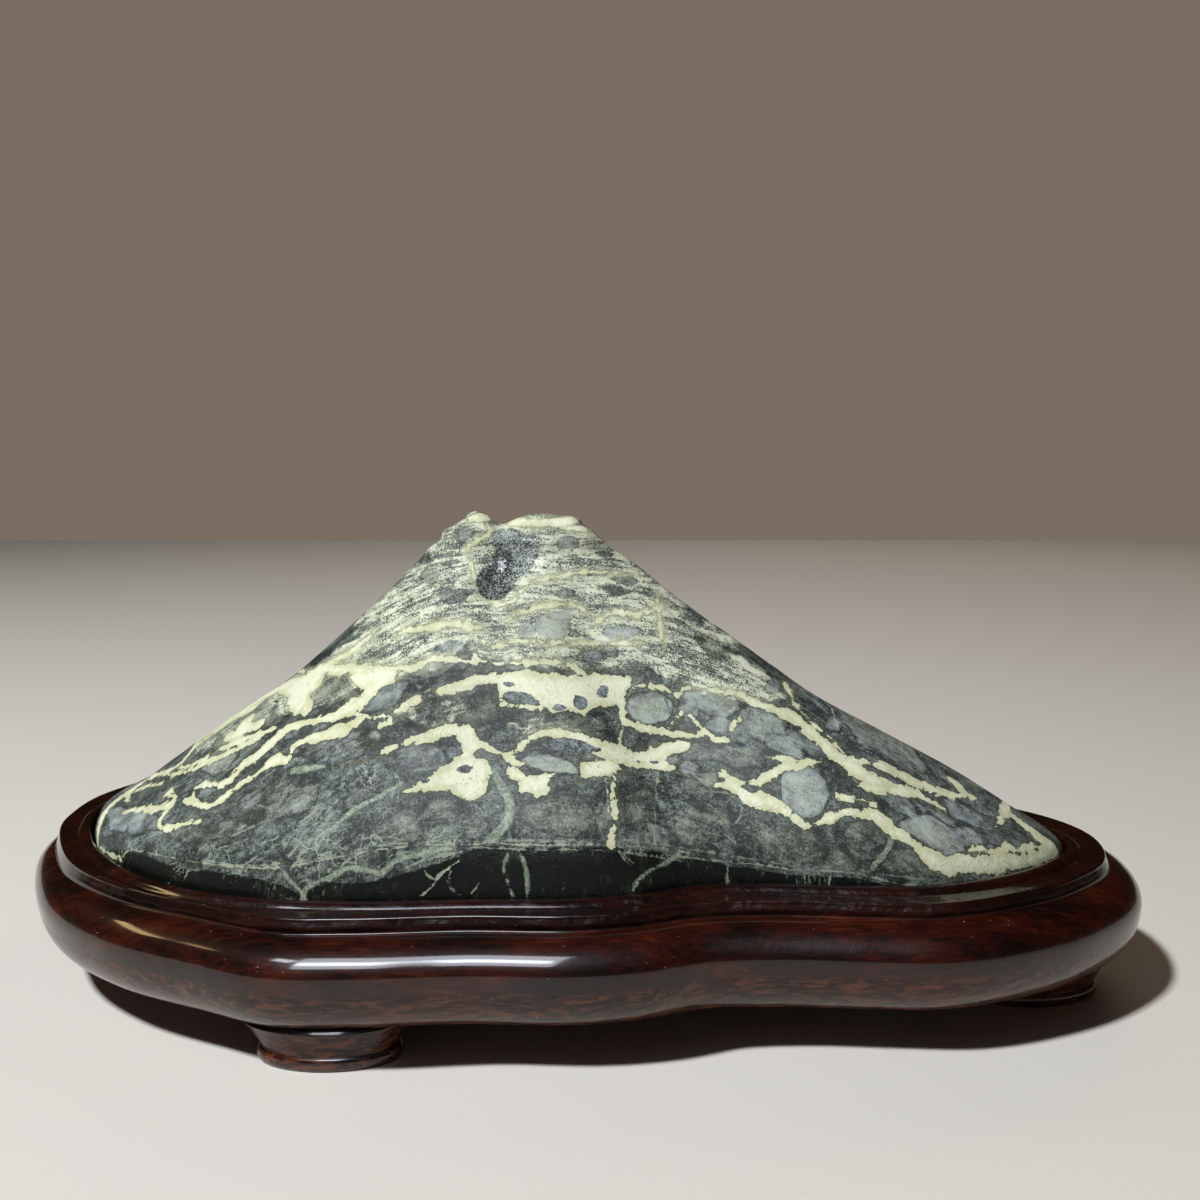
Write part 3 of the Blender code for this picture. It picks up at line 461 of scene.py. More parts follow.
# ---- shades that no setting changes, as 0 to 255 steps of a screen ----
SHADES = {
    "blue ground, dark": (58, 68, 72), "blue ground, light": (158, 170, 176),
    "dark band, dark": (58, 69, 67), "dark band, light": (122, 133, 128),
    "cream band, dark": (186, 197, 176), "cream band, light": (228, 236, 216),
    "web": (172, 188, 176), "foot, middle": (46, 56, 46), "foot, light": (110, 124, 104),
    "pale vein, dark": (118, 134, 118), "thin vein, middle": (134, 146, 134),
    "thin vein, light": (200, 212, 188), "cream, stained": (150, 160, 132),
    # The light shades of the scoop and the pit are painted glints.
    "speck, light": (158, 170, 176), "scoop, dark": (50, 61, 61), "scoop, painted glint": (178, 192, 194),
    "pit, dark": (30, 38, 36), "pit, painted glint": (146, 160, 158),
    # The lower streak stands for the wood's grain and for a painted warm reflection.
    "lower streak and painted reflection": (104, 60, 38), "dust": (190, 182, 168),
}

# ---- the stand and its feet ----
BOARD_UNDERSIDE = 0.0089
NOSE_MIDDLE = 0.0211        # height of the moulding's fullest line
NOSE_RISE = 0.0070          # from there up to its crown
NOSE_DEPTH = 0.0088         # from its fullest line in to its crown
NOSE_REACH = {"right": 0.0079, "back": 0.0070, "left": 0.0051, "front": 0.0088}
RECESS_FLOOR = 0.0232
RECESS_PLAY = {"right": 0.0008, "back": 0.0008, "left": 0.0008, "front": 0.0004}
RIM_SAG = 0.00010           # how far the rim's top is hollowed between its edge and the bead
WANDER = 0.00010            # how far the carving strays from its true lines
WANDER_CELL = 0.024         # over what distance it strays
# The bead's profile, from its foot on the rim to the recess: (share of its width, of its rise).
BEAD = [
    (0.05, 0.08), (0.11, 0.26), (0.18, 0.46), (0.25, 0.64), (0.33, 0.79), (0.42, 0.90),
    (0.52, 0.97), (0.64, 1.0), (0.76, 0.98), (0.86, 0.90), (0.94, 0.72), (0.985, 0.45), (1.0, 0.1),
]
RIM_OUTLINE = [
    (0.1245, -0.0108), (0.1208, 0.0032), (0.1093, 0.0162), (0.0873, 0.0302), (0.0573, 0.0432),
    (0.0193, 0.0532), (-0.0207, 0.0592), (-0.0607, 0.0612), (-0.0927, 0.0572), (-0.1147, 0.0442),
    (-0.1257, 0.0262), (-0.1272, 0.0092), (-0.1237, -0.0058), (-0.1117, -0.0268),
    (-0.0947, -0.0418), (-0.0747, -0.0519), (-0.0582, -0.0588), (-0.0427, -0.0594),
    (-0.0207, -0.0577), (-0.0007, -0.0583), (0.0133, -0.0563), (0.0273, -0.0515),
    (0.0433, -0.0503), (0.0613, -0.0513), (0.0773, -0.0515), (0.0933, -0.0466),
    (0.1073, -0.0388), (0.1201, -0.0263),
]
FOOT_TOP = 0.0089
FOOT_LENGTH = 0.030
FOOT_DEPTH = 0.016
FOOT_FLARE = 0.0030         # how far the top stands out past the toe
FOOT_WAIST = 0.0006         # how far the waist is drawn in from the toe
FOOT_NECK = 0.0006          # how far the line just above the toe is drawn in beyond the waist
TOE_HEIGHT = 0.0028
FOOT_PLACES = {             # middle of each foot, and its turn about Z in degrees
    "foot_front_left": (-0.0483, -0.0542, 0.0),
    "foot_front_right": (0.1053, -0.0263, 8.0),
    "foot_back_left": (-0.0907, 0.0432, -10.0),
    "foot_back_right": (0.0793, 0.0242, -24.0),
}


def tint(red, green, blue):
    """A colour given as 0 to 255 steps of a screen, as the linear values that a shader takes."""
    steps = np.array([red, green, blue]) / 255
    low = steps / 12.92
    high = ((steps + 0.055) / 1.055) ** 2.4
    return tuple(float(value) for value in np.where(steps <= 0.04045, low, high))


def shade_of(name):
    return tint(*SHADES[name])


def colour(name, description, *screen):
    return FloatVectorProperty(name=name, description=description, subtype="COLOR", size=3,
                               min=0.0, max=1.0, default=tint(*screen))


def metres(name, description, value):
    return FloatProperty(name=name, description=description, default=value, min=0.0, unit="LENGTH")


def watts(name, description, value):
    return FloatProperty(name=name, description=description, default=value, min=0.0, unit="POWER")


def whole(name, description, value, least):
    return IntProperty(name=name, description=description, default=value, min=least)


# ---- settings ----
class StoneSettings(bpy.types.PropertyGroup):
    """Fineness and colours of the stone."""

    viewed_columns: whole("Columns in view", "Columns of the mesh on the viewed side", 402, 60)
    hidden_columns: whole("Columns behind", "Columns of the mesh on the far side", 162, 30)
    seed: whole("Seed", "Draws the marks of the far side", 11, 0)
    dark_matrix: colour("Dark matrix", "Darkest of the ground between the pebbles", 38, 47, 45)
    mid_matrix: colour("Matrix", "Usual colour of the ground", 101, 112, 111)
    light_matrix: colour("Light matrix", "Palest of the ground", 154, 165, 154)
    blue_pebble: colour("Blue pebble", "Pale blue-grey pebbles", 168, 182, 190)
    green_pebble: colour("Green pebble", "Pale green-grey pebbles", 178, 190, 176)
    dark_pebble: colour("Dark pebble", "Darkest pebbles", 44, 50, 46)
    cream: colour("Cream", "Thick of the cream veins", 227, 234, 211)
    cream_edge: colour("Cream edge", "Yellower edge of the veins", 200, 206, 172)
    pale_green: colour("Pale green", "Thin green-white veins", 174, 188, 170)
    foot_band: colour("Foot band", "Nearly black serpentine at the foot", 9, 14, 10)
    rust: colour("Rust", "Faint brown stain", 150, 134, 100)


class StandSettings(bpy.types.PropertyGroup):
    """Shape of the mouldings and colours of the lacquered wood."""

    columns: whole("Columns", "Steps around the stand's outline", 480, 96)
    rim_edge: metres("Rim edge", "Radius of the rim's outer edge", 0.0005)
    batter: metres("Batter", "How far the rim's wall leans in from its foot to its edge", 0.0009)
    cove: metres("Cove", "Size of the hollow between the rim's wall and the moulding", 0.0005)
    bead_width: metres("Bead width", "Width of the raised bead that borders the stone", 0.0034)
    bead_rise: metres("Bead rise", "Height of the bead above the rim", 0.0012)
    dark_wood: colour("Dark wood", "Nearly black grain", 15, 4, 3)
    red_wood: colour("Red wood", "Red-brown ground", 46, 12, 5)
    orange_wood: colour("Orange wood", "Lit streaks of the grain", 84, 34, 12)


class StudioSettings(bpy.types.PropertyGroup):
    """Floor, backdrop and lights."""

    floor: colour("Floor", "Plain pale floor", 222, 222, 219)
    backdrop: colour("Backdrop", "Plain warm grey behind the floor", 122, 110, 99)
    ambient: colour("Ambient", "Even light from all around", 37, 25, 15)
    lamp_power: watts("Lamp", "Power of the main light, above the viewer's left", 20.5)
    window_power: watts("Window", "Power of the window that only glossy skins mirror", 6.2)
    glare_power: watts("Glare", "Power of the main light as glossy skins mirror it", 2.2)
    glow_power: watts("Glow", "Power of the low warm light that the left end mirrors", 0.6)
    back_power: watts("Back light", "Power of the weak wide light from behind", 2.6)


# ---- mesh helpers ----
def mesh_object(name, points, faces):
    mesh = bpy.data.meshes.new(name)
    mesh.from_pydata(points.tolist(), [], faces)
    mesh.validate()
    mesh.shade_smooth()
    piece = bpy.data.objects.new(name, mesh)
    bpy.context.scene.collection.objects.link(piece)
    return piece


def ring_faces(rings, columns):
    """Quads between rings of points that close on themselves, and a fan to a point at each end."""
    row = np.arange(rings - 1)[:, None] * columns
    here = np.arange(columns)[None]
    after = (here + 1) % columns
    quads = np.stack([row + here, row + columns + here, row + columns + after, row + after], axis=-1)
    first, last = rings * columns, rings * columns + 1
    end = (rings - 1) * columns
    here, after = here[0], after[0]
    top = np.column_stack([np.full(columns, first), here, after])
    bottom = np.column_stack([np.full(columns, last), end + after, end + here])
    return quads.reshape(-1, 4).tolist() + top.tolist() + bottom.tolist()


def closed_body(name, rings, first, last):
    """A closed skin over rings of points, from the point first to the point last."""
    points = np.concatenate([rings.reshape(-1, 3), [first], [last]])
    return mesh_object(name, points, ring_faces(*rings.shape[:2]))


def store(piece, name, values):
    """Rows of one or three values, one for each vertex, as an attribute that the shader reads."""
    values = values.astype(np.float32)
    kind, field = ("FLOAT", "value") if values.shape[1] == 1 else ("FLOAT_VECTOR", "vector")
    attribute = piece.data.attributes.new(name, kind, "POINT")
    attribute.data.foreach_set(field, values.ravel())


def soft_noise(points, cell, seed):
    """Random values at the corners of cubic cells, blended smoothly between them, from -1 to 1."""
    place = np.asarray(points) / cell
    corner = np.floor(place).astype(np.int64)
    part = place - corner
    part = part * part * (3 - 2 * part)
    total = np.zeros(len(place))
    for step in np.ndindex(2, 2, 2):
        spot = (corner + step) * np.array([73856093, 19349663, 83492791])
        mixed = spot[:, 0] ^ spot[:, 1] ^ (spot[:, 2] + seed * 2654435761)
        mixed = (mixed ^ (mixed >> 13)) * 1274126177 & 0xFFFFFFFF
        value = ((mixed ^ (mixed >> 16)) & 0xFFFF) / 32767.5 - 1
        total += value * np.prod(np.where(step, part, 1 - part), axis=1)
    return total


def smooth_step(low, high, value):
    """0 below low and 1 above high, with level ends."""
    share = np.clip((value - low) / (high - low), 0, 1)
    return share * share * (3 - 2 * share)


# ---- outlines ----
def catmull_rom(points, position, closed=True):
    """A smooth curve through the points, read at positions counted in points."""
    points = np.asarray(points, dtype=float)
    last = len(points) - 1
    position = np.asarray(position, dtype=float)
    start = np.floor(position).astype(int)
    if not closed:
        start = np.clip(start, 0, last - 1)
    part = (position - start)[:, None]
    steps = [start + step for step in (-1, 0, 1, 2)]
    steps = [step % (last + 1) if closed else np.clip(step, 0, last) for step in steps]
    before, first, second, after = (points[step] for step in steps)
    return 0.5 * (2 * first + (second - before) * part
                  + (2 * before - 5 * first + 4 * second - after) * part ** 2
                  + (3 * first - before - 3 * second + after) * part ** 3)


def around(outline, turn):
    """Points of a closed smooth outline at shares of its length, from 0 to 1."""
    dense = catmull_rom(outline, np.linspace(0, len(outline), 1441))
    length = np.concatenate([[0], np.cumsum(np.linalg.norm(np.diff(dense, axis=0), axis=1))])
    where = (np.asarray(turn) % 1.0) * length[-1]
    return np.stack([np.interp(where, length, dense[:, axis]) for axis in (0, 1)], axis=-1)


def outward(points):
    """Unit vectors that point out of a closed anticlockwise outline."""
    along = np.roll(points, -1, axis=0) - np.roll(points, 1, axis=0)
    along /= np.linalg.norm(along, axis=1)[:, None]
    return np.stack([along[:, 1], -along[:, 0]], axis=1)


def by_side(direction, right, back, left, front):
    """A value for each direction, mixed from the values of the four sides."""
    east, north = direction[:, 0], direction[:, 1]
    across = np.where(east > 0, right, left) * east ** 2
    return across + np.where(north > 0, back, front) * north ** 2


# ---- the stone's surface ----
def held_spline(knots, position):
    """A smooth open curve through the knots, from 0 at the first to 1 at the last."""
    return catmull_rom(knots, np.clip(position, 0, 1) * (len(knots) - 1), closed=False)


def smooth_stone(turn, drop):
    """The stone without its lumps: turn runs around it, drop from summit to underside.

    On each bearing the four slopes are mixed by the squares of its east and north parts. Reach up
    to 0 spreads out over the oval summit, and from 0 to 1 out to the outline.
    """
    foot = around(STONE_OUTLINE, turn)
    angle = turn * 2 * np.pi
    ring = np.array([SUMMIT_HALF_WIDTH, SUMMIT_HALF_DEPTH])
    edge = SUMMIT + ring * np.stack([np.cos(angle), np.sin(angle)], axis=1)
    away = foot - np.array(SUMMIT)
    bearing = np.arctan2(away[:, 1] / PLAN_FLATTENING, away[:, 0])
    side = np.stack([np.cos(bearing), np.sin(bearing)], axis=1)
    slopes = [held_spline(slope, drop) for slope in (SLOPE_RIGHT, SLOPE_BACK, SLOPE_LEFT, SLOPE_FRONT)]
    reach = by_side(side, *(slope[:, 0] for slope in slopes))
    height = by_side(side, *(slope[:, 1] for slope in slopes))
    height = np.maximum(height + RIM_HEIGHT, STONE_UNDERSIDE)
    inner = np.array(SUMMIT) + (edge - SUMMIT) * np.clip(1 + reach, 0, 1)[:, None]
    plan = inner + (foot - edge) * np.clip(reach, 0, None)[:, None]
    return np.column_stack([plan, height])


def stone_normals(turn, drop):
    """Unit normals from the slopes of the smooth surface in both of its parameters."""
    around_it = smooth_stone(turn + NORMAL_STEP, drop) - smooth_stone(turn - NORMAL_STEP, drop)
    down_it = smooth_stone(turn, drop + NORMAL_STEP) - smooth_stone(turn, drop - NORMAL_STEP)
    normal = np.cross(down_it, around_it)
    size = np.linalg.norm(normal, axis=1)
    upright = np.array([0.0, 0.0, 1.0])
    return np.where(size[:, None] > 1e-12, normal / np.maximum(size, 1e-12)[:, None], upright)


def stone_surface(turn, drop):
    """The smooth surface moved along its normals by every lump and hollow, and by fine relief.

    A lump is its rise times a bell of the distance from its middle. The fine relief is smooth
    random noise at three sizes. Both fade out below the rim, where the stone is sawn flat.
    """
    points = smooth_stone(turn, drop)
    rise = np.zeros(len(points))
    for middle, spread, height in RELIEF:
        distance = ((points - np.array(middle)) / np.array(spread)) ** 2
        rise += height * np.exp(-distance.sum(axis=1))
    for number, (cell, height) in enumerate(FINE_RELIEF):
        rise += height * MM * soft_noise(points, cell * MM, number)
    above_rim = np.clip((points[:, 2] - RIM_HEIGHT) / 0.003, 0, 1)
    return points + stone_normals(turn, drop) * (rise * above_rim)[:, None]


def stone_grid(settings):
    """Turns and drops of the mesh: more columns on the viewed side, rings by RINGS_BETWEEN."""
    front, back = VIEWED_SIDE
    turns = np.concatenate([
        np.linspace(back - 1, front, settings.hidden_columns, endpoint=False),
        np.linspace(front, back, settings.viewed_columns, endpoint=False)])
    stops = np.concatenate([np.arange(rings) / rings + stretch
                            for stretch, rings in enumerate(RINGS_BETWEEN)])
    return turns, stops[1:] / len(RINGS_BETWEEN)


# ---- marks on the stone ----
class Marks:
    """Distances, in millimetres, from every vertex of the stone to the marks drawn on it.

    Marks seen from the viewing side are laid on the stone through the eye. Their distances are
    measured in the eye's own axes, with a step away from the eye counted less, so that a mark on
    a slope keeps the width it was drawn with.
    """

    FAR = 6.0

    def __init__(self, points, normals, faces):
        self.points = points
        self.normals = normals
        self.tree = BVHTree.FromPolygons(points.tolist(), faces)
        turn = np.array(Euler((EYE_TILT, 0, 0)).to_matrix())
        self.eye = np.array(EYE)
        self.axes = np.stack([turn[:, 0], turn[:, 1], -turn[:, 2]])
        self.seen = self.to_view(points)
        toward = self.eye - points
        # The cosine of the angle between the normal and the way to the eye.
        self.facing_share = (toward * normals).sum(axis=1) / np.linalg.norm(toward, axis=1)
        self.facing = self.facing_share > 0
        self.depth = (points - self.eye) @ self.axes[2]
        self.eased = self.ease(points)

    def ease(self, points):
        """Millimetres along the eye's axes, with the way from the eye shortened."""
        return (points - self.eye) @ self.axes.T * np.array([1, 1, DEPTH_SHARE]) / MM

    def to_view(self, points):
        """Across and down the view, for points in the room."""
        right, up, ahead = ((points - self.eye) @ self.axes.T).T
        return np.stack([right / ahead + 0.5, 0.5 - up / ahead], axis=1) * VIEW_SIZE

    def strike(self, spots):
        """Where lines of sight through view spots meet the stone; a miss is left out."""
        across, down = np.asarray(spots, dtype=float).T / VIEW_SIZE
        rays = np.stack([across - 0.5, 0.5 - down, np.ones(len(across))], axis=1) @ self.axes
        hits = [self.tree.ray_cast(Vector(EYE), Vector(ray))[0] for ray in rays]
        met = np.array([hit is not None for hit in hits])
        return np.array([hit for hit in hits if hit is not None]).reshape(-1, 3), met

    def drawn_line(self, spots, closed=False):
        """A smooth line through (across, down, width) spots, with half widths in millimetres."""
        spots = np.asarray(spots, dtype=float)
        steps = len(spots) * 8 if closed else (len(spots) - 1) * 8 + 1
        place = np.linspace(0, len(spots) if closed else len(spots) - 1, steps)
        dense = catmull_rom(spots, place, closed=closed)
        line, met = self.strike(dense[:, :2])
        ahead = (line - self.eye) @ self.axes[2]
        half = dense[met, 2] / 2 * ahead / VIEW_SIZE / MM if dense.shape[1] > 2 else None
        return line, half


def near(line, places, margin):
    """Which places lie inside the box around a line, widened by a margin."""
    low, high = line.min(axis=0) - margin, line.max(axis=0) + margin
    return np.flatnonzero(((places > low) & (places < high)).all(axis=1))


def nearest_on_line(places, line):
    """For each place: distance to a line of straight bits, where along it, and which side.

    On each bit the foot of the upright from the place is found, kept within the bit, and the
    nearest of them counts.
    """
    start, along = line[:-1], np.diff(line, axis=0)
    length = np.maximum((along ** 2).sum(axis=1), 1e-9)
    offset = places[:, None] - start
    share = np.clip((offset * along).sum(axis=2) / length, 0, 1)
    gap = offset - share[..., None] * along
    distance = np.linalg.norm(gap, axis=2)
    best = distance.argmin(axis=1)
    rows = np.arange(len(places))
    return distance[rows, best], best + share[rows, best], gap[rows, best], along[best]


def in_outline(spots, outline):
    """Whether spots lie inside an outline: the line to the right of each crosses it an odd
    number of times."""
    across, down = spots[:, :1], spots[:, 1:]
    first, second = outline, np.roll(outline, -1, axis=0)
    straddles = (first[:, 1] > down) != (second[:, 1] > down)
    fall = np.where(second[:, 1] == first[:, 1], 1e-9, second[:, 1] - first[:, 1])
    meets = first[:, 0] + (down - first[:, 1]) * (second[:, 0] - first[:, 0]) / fall
    return (straddles & (across < meets)).sum(axis=1) % 2 == 1


def lay_stroke(field, places, line, half):
    """Lowers a field to the distance from one stroke's edge, less than nothing inside it."""
    chosen = near(line, places, Marks.FAR)
    distance, place, _, _ = nearest_on_line(places[chosen], line)
    edge = distance - np.interp(place, np.arange(len(half)), half)
    field[chosen] = np.minimum(field[chosen], edge)


def stroke_field(marks, strokes):
    """Distance to the nearest edge of several drawn strokes, less than nothing inside one."""
    field = np.full(len(marks.points), Marks.FAR)
    for spots in strokes:
        line, half = marks.drawn_line(spots)
        lay_stroke(field, marks.eased, marks.ease(line), half)
    return field


def patch_field(marks, outlines):
    """Distance to the edge of several drawn patches, less than nothing inside one."""
    field = np.full(len(marks.points), Marks.FAR)
    for outline in outlines:
        line, _ = marks.drawn_line(outline, closed=True)
        line = marks.ease(np.concatenate([line, line[:1]]))
        chosen = near(line, marks.eased, Marks.FAR)
        distance, _, _, _ = nearest_on_line(marks.eased[chosen], line)
        smooth = catmull_rom(outline, np.arange(len(outline) * 8) / 8)
        inside = in_outline(marks.seen[chosen], smooth) & marks.facing[chosen]
        field[chosen] = np.minimum(field[chosen], np.where(inside, -distance, distance))
    return field


def own_steps(spots, across, down, half_width, half_height, turn):
    """Steps from an oval's middle to spots, along and beside it, counted in its half sizes."""
    angle = math.radians(turn)
    offset = spots - np.array([across, down])
    along = offset[:, 0] * math.cos(angle) + offset[:, 1] * math.sin(angle)
    beside = offset[:, 1] * math.cos(angle) - offset[:, 0] * math.sin(angle)
    return along / half_width, beside / half_height


def faceted_reach(along, beside, random):
    """How far steps along and beside a pebble go from its middle, counted in its own size.

    The pebble is an oval cut by flats. The reach is the ninth root of the sum of the ninth
    powers of the reaches towards its flats, which rounds the corners between them.
    """
    count = int(random.integers(5, 8))
    flats = (np.arange(count) + random.uniform(-0.3, 0.3, count)) / count * 2 * np.pi
    flats += random.uniform(0, 2 * np.pi)
    sizes = random.uniform(0.86, 1.04, count)
    toward = (along[:, None] * np.cos(flats) + beside[:, None] * np.sin(flats)) / sizes
    return (np.clip(toward, 0, None) ** 9).sum(axis=1) ** (1 / 9)


def pebble_fields(marks, pebbles, seed):
    """Distance to the nearest pebble's edge, with that pebble's tone and blueness."""
    random = np.random.default_rng(seed)
    field = np.full(len(marks.points), Marks.FAR)
    look = np.zeros((len(marks.points), 2))
    wobble = np.stack([soft_noise(marks.points, 0.006, number) for number in (5, 6)], axis=1)
    spots = marks.seen + 3.0 * wobble
    scale = marks.depth / VIEW_SIZE / MM
    for across, down, half_width, half_height, turn, tone, blueness in pebbles:
        steps = own_steps(spots, across, down, half_width, half_height, turn)
        reach = faceted_reach(*steps, random)
        distance = (reach - 1) * (half_width * half_height) ** 0.5
        distance = np.where(marks.facing, distance * scale, Marks.FAR)
        nearer = distance < field
        field = np.where(nearer, distance, field)
        look[nearer] = tone, blueness
    return field, look


def spot_weight(marks, spots):
    """The strongest of several soft oval spots at each vertex, from 0 to 1."""
    weight = np.zeros(len(marks.points))
    for across, down, half_width, half_height, turn, strength in spots:
        reach = np.hypot(*own_steps(marks.seen, across, down, half_width, half_height, turn))
        weight = np.maximum(weight, strength * (1 - smooth_step(0.6, 1.15, reach)))
    return weight


class VeinChannels:
    """Thin veins kept as (signed distance to the middle, half width, tone) in a few attributes.

    Veins that pass close to each other go to different channels, so that each keeps a clean
    change of sign along its middle. The half width is less than nothing past a vein's ends.
    """

    COUNT = 4
    REACH = 4.0         # how far from a vein its distances are kept
    CLOSE = 2.6         # veins nearer than this to each other are kept apart
    TAPER = 0.15        # share of a vein over which each end narrows

    def __init__(self, total):
        self.values = [np.tile([Marks.FAR, -1.0, 0.5], (total, 1)) for _ in range(self.COUNT)]
        self.gaps = np.full((self.COUNT, total), np.inf)

    def add(self, chosen, places, line, half, tone, upright):
        """Lays one vein on the chosen vertices: its side comes from the turn about upright."""
        distance, place, gap, along = nearest_on_line(places, line)
        side = np.sign((np.cross(along, gap) * upright).sum(axis=1))
        share = place / (len(line) - 1)
        taper = smooth_step(0, self.TAPER, np.minimum(share, 1 - share))
        width = np.interp(place, np.arange(len(half)), half) * (0.35 + 0.65 * taper)
        width = np.where((share <= 0) | (share >= 1), -0.3, width)
        width -= 0.5 * np.clip(distance - 2.0, 0, None)
        close = distance < self.CLOSE
        crowding = [(self.gaps[channel, chosen[close]] < self.CLOSE).sum()
                    for channel in range(self.COUNT)]
        channel = int(np.argmin(crowding))
        nearer = distance < self.gaps[channel, chosen]
        chosen = chosen[nearer]
        self.gaps[channel, chosen] = distance[nearer]
        self.values[channel][chosen] = np.column_stack(
            [side[nearer] * distance[nearer], width[nearer], np.full(len(chosen), tone)])


def drawn_veins(marks, channels):
    toward_eye = np.array([0.0, 0.0, -1.0])
    for tone, width, spots in THIN_VEINS:
        line, half = marks.drawn_line([(across, down, width) for across, down in spots])
        line = marks.ease(line)
        chosen = near(line, marks.eased, VeinChannels.REACH)
        channels.add(chosen, marks.eased[chosen], line, half, tone, toward_eye)


class FarSide:
    """Marks of the side that is turned away, drawn at random along the stone's layers."""

    TURNS = (0.02, 0.48)

    def __init__(self, marks, seed):
        self.marks = marks
        self.random = np.random.default_rng(seed)
        self.places = marks.points / MM

    def path(self, length, steepness, steps=36):
        """A wandering line on the skin: an even turn, with a drop that drifts and waves."""
        first = self.random.uniform(*self.TURNS)
        turn = first + np.linspace(-0.5, 0.5, steps) * length
        share = np.linspace(0, 1, steps)
        waves = sum(self.random.normal(0, 0.018 / number)
                    * np.sin(2 * np.pi * number * share + self.random.uniform(0, 6.3))
                    for number in (1, 2, 3))
        drop = self.random.uniform(0.17, 0.70) + steepness * (share - 0.5) + waves
        return stone_surface(turn, np.clip(drop, 0.1, 0.74)) / MM

    def strokes(self, number, length, widths, steepness=0.05):
        field = np.full(len(self.places), Marks.FAR)
        for _ in range(number):
            line = self.path(self.random.uniform(*length), self.random.normal(0, steepness))
            share = np.linspace(0, 1, len(line))
            half = self.random.uniform(*widths) * np.sin(np.pi * share) ** 0.6
            half = half * (1 + 0.5 * np.sin(share * self.random.uniform(9, 25)))
            lay_stroke(field, self.places, line, half)
        return field

    def pebbles(self, number):
        """Flat ovals along the layers: distances in the vertical and sideways half sizes."""
        field = np.full(len(self.places), Marks.FAR)
        look = np.zeros((len(self.places), 2))
        for _ in range(number):
            turn = np.array([self.random.uniform(*self.TURNS)])
            drop = np.array([self.random.uniform(0.15, 0.7)])
            middle = stone_surface(turn, drop)[0] / MM
            ahead = stone_surface(turn + 0.004, drop)[0] / MM - middle
            ahead /= np.linalg.norm(ahead)
            length = self.random.uniform(2.0, 8.5)
            height = length * self.random.uniform(0.45, 0.95)
            offset = self.places - middle
            along = offset @ ahead
            beside = np.linalg.norm(offset - along[:, None] * ahead, axis=1)
            reach = np.hypot(along / length, beside / height)
            distance = (reach - 1) * height
            nearer = distance < field
            field = np.where(nearer, distance, field)
            look[nearer] = self.random.uniform(0.25, 0.75), self.random.uniform(0, 1)
        return field, look

    def veins(self, number, channels):
        for _ in range(number):
            line = self.path(self.random.uniform(0.02, 0.08), self.random.normal(0, 0.12))
            half = np.full(len(line), self.random.uniform(0.2, 0.45))
            chosen = near(line, self.places, VeinChannels.REACH)
            channels.add(chosen, self.places[chosen], line, half, self.random.uniform(0.45, 1.0),
                         self.marks.normals[chosen])


def stratum(points):
    """Height in the layering, in millimetres: level in the middle, falling along both flanks.

    Each flank adds its slope times a softened ramp of the way out from the middle.
    """
    across = points[:, 0] / MM
    right_start, left_start, soften = 24.0, 34.0, 9.0
    right_fall, left_fall = 0.62, 0.66
    right = soften * np.logaddexp(0, (across - right_start) / soften)
    left = soften * np.logaddexp(0, (-across - left_start) / soften)
    wave = 1.6 * soft_noise(points, 0.022, 21) + 0.6 * soft_noise(points, 0.008, 22)
    return points[:, 2] / MM + right_fall * right + left_fall * left + wave


def foot_band_field(marks):
    """Distance above the dark foot's top edge: drawn on the viewed side, wavering behind it."""
    across, down = np.array(DARK_FOOT_EDGE, dtype=float).T
    below_the_stone = 920
    edge = np.interp(marks.seen[:, 0], across, down, left=below_the_stone, right=below_the_stone)
    seen = (edge - marks.seen[:, 1]) * marks.depth / VIEW_SIZE / MM
    height = 5.0 + 3.5 * soft_noise(marks.points * [1, 1, 0], 0.035, 31)
    hidden = (marks.points[:, 2] - RIM_HEIGHT) / MM - height
    return np.clip(np.where(marks.facing, seen, hidden), -Marks.FAR, Marks.FAR)


def paint_marks(piece, marks, settings):
    """Works out every mark and stores it on the stone's vertices."""
    far = FarSide(marks, settings.seed)
    cream = np.minimum(stroke_field(marks, CREAM_STROKES.values()),
                       patch_field(marks, CREAM_PATCHES.values()))
    cream = np.minimum(cream, far.strokes(26, (0.05, 0.22), (0.5, 2.3)))
    pale = np.minimum(stroke_field(marks, PALE_STROKES.values()),
                      far.strokes(16, (0.03, 0.15), (0.3, 1.0), 0.12))
    pebble, look = pebble_fields(marks, PEBBLES, 2)
    far_pebble, far_look = far.pebbles(70)
    hidden = ~marks.facing
    border = smooth_step(0.08, 0.0, abs(marks.facing_share))
    pebble = np.where(hidden, far_pebble, pebble) + 3.0 * border
    look[hidden] = far_look[hidden]
    speck, speck_look = pebble_fields(marks, SPECKS, 3)
    channels = VeinChannels(len(marks.points))
    drawn_veins(marks, channels)
    far.veins(46, channels)
    viewed = smooth_step(-0.08, 0.12, marks.facing_share)

    def both_sides(behind, spots):
        return behind * (1 - viewed) + spot_weight(marks, spots) * viewed

    # Behind, the speckled layers lie high and the web low, by their height in millimetres.
    height = marks.points[:, 2] / MM + 6 * soft_noise(marks.points, 0.02, 41)
    patches = smooth_step(-0.2, 0.6, soft_noise(marks.points, 0.03, 42))
    ground = [both_sides(smooth_step(50, 74, height), SPECKLED),
              both_sides(smooth_step(56, 40, height), WEBBED), both_sides(patches, STRIATED)]
    # The stored stain masks are the rust, and the pit and the scoop, where glints are painted.
    stain = [spot_weight(marks, spots) * viewed for spots in (RUSTY, PITTED, HOLLOW)]
    polished = spot_weight(marks, POLISHED) * marks.facing
    for name, columns in {
            "cream": [cream], "pale": [pale], "pebble": [pebble, look], "speck": [speck, speck_look],
            "foot_band": [foot_band_field(marks)], "ground": ground, "stain": stain,
            "polished": [polished], "stratum": [stratum(marks.points)]}.items():
        store(piece, name, np.column_stack(columns))
    for number, values in enumerate(channels.values):
        store(piece, f"vein_{number}", values)


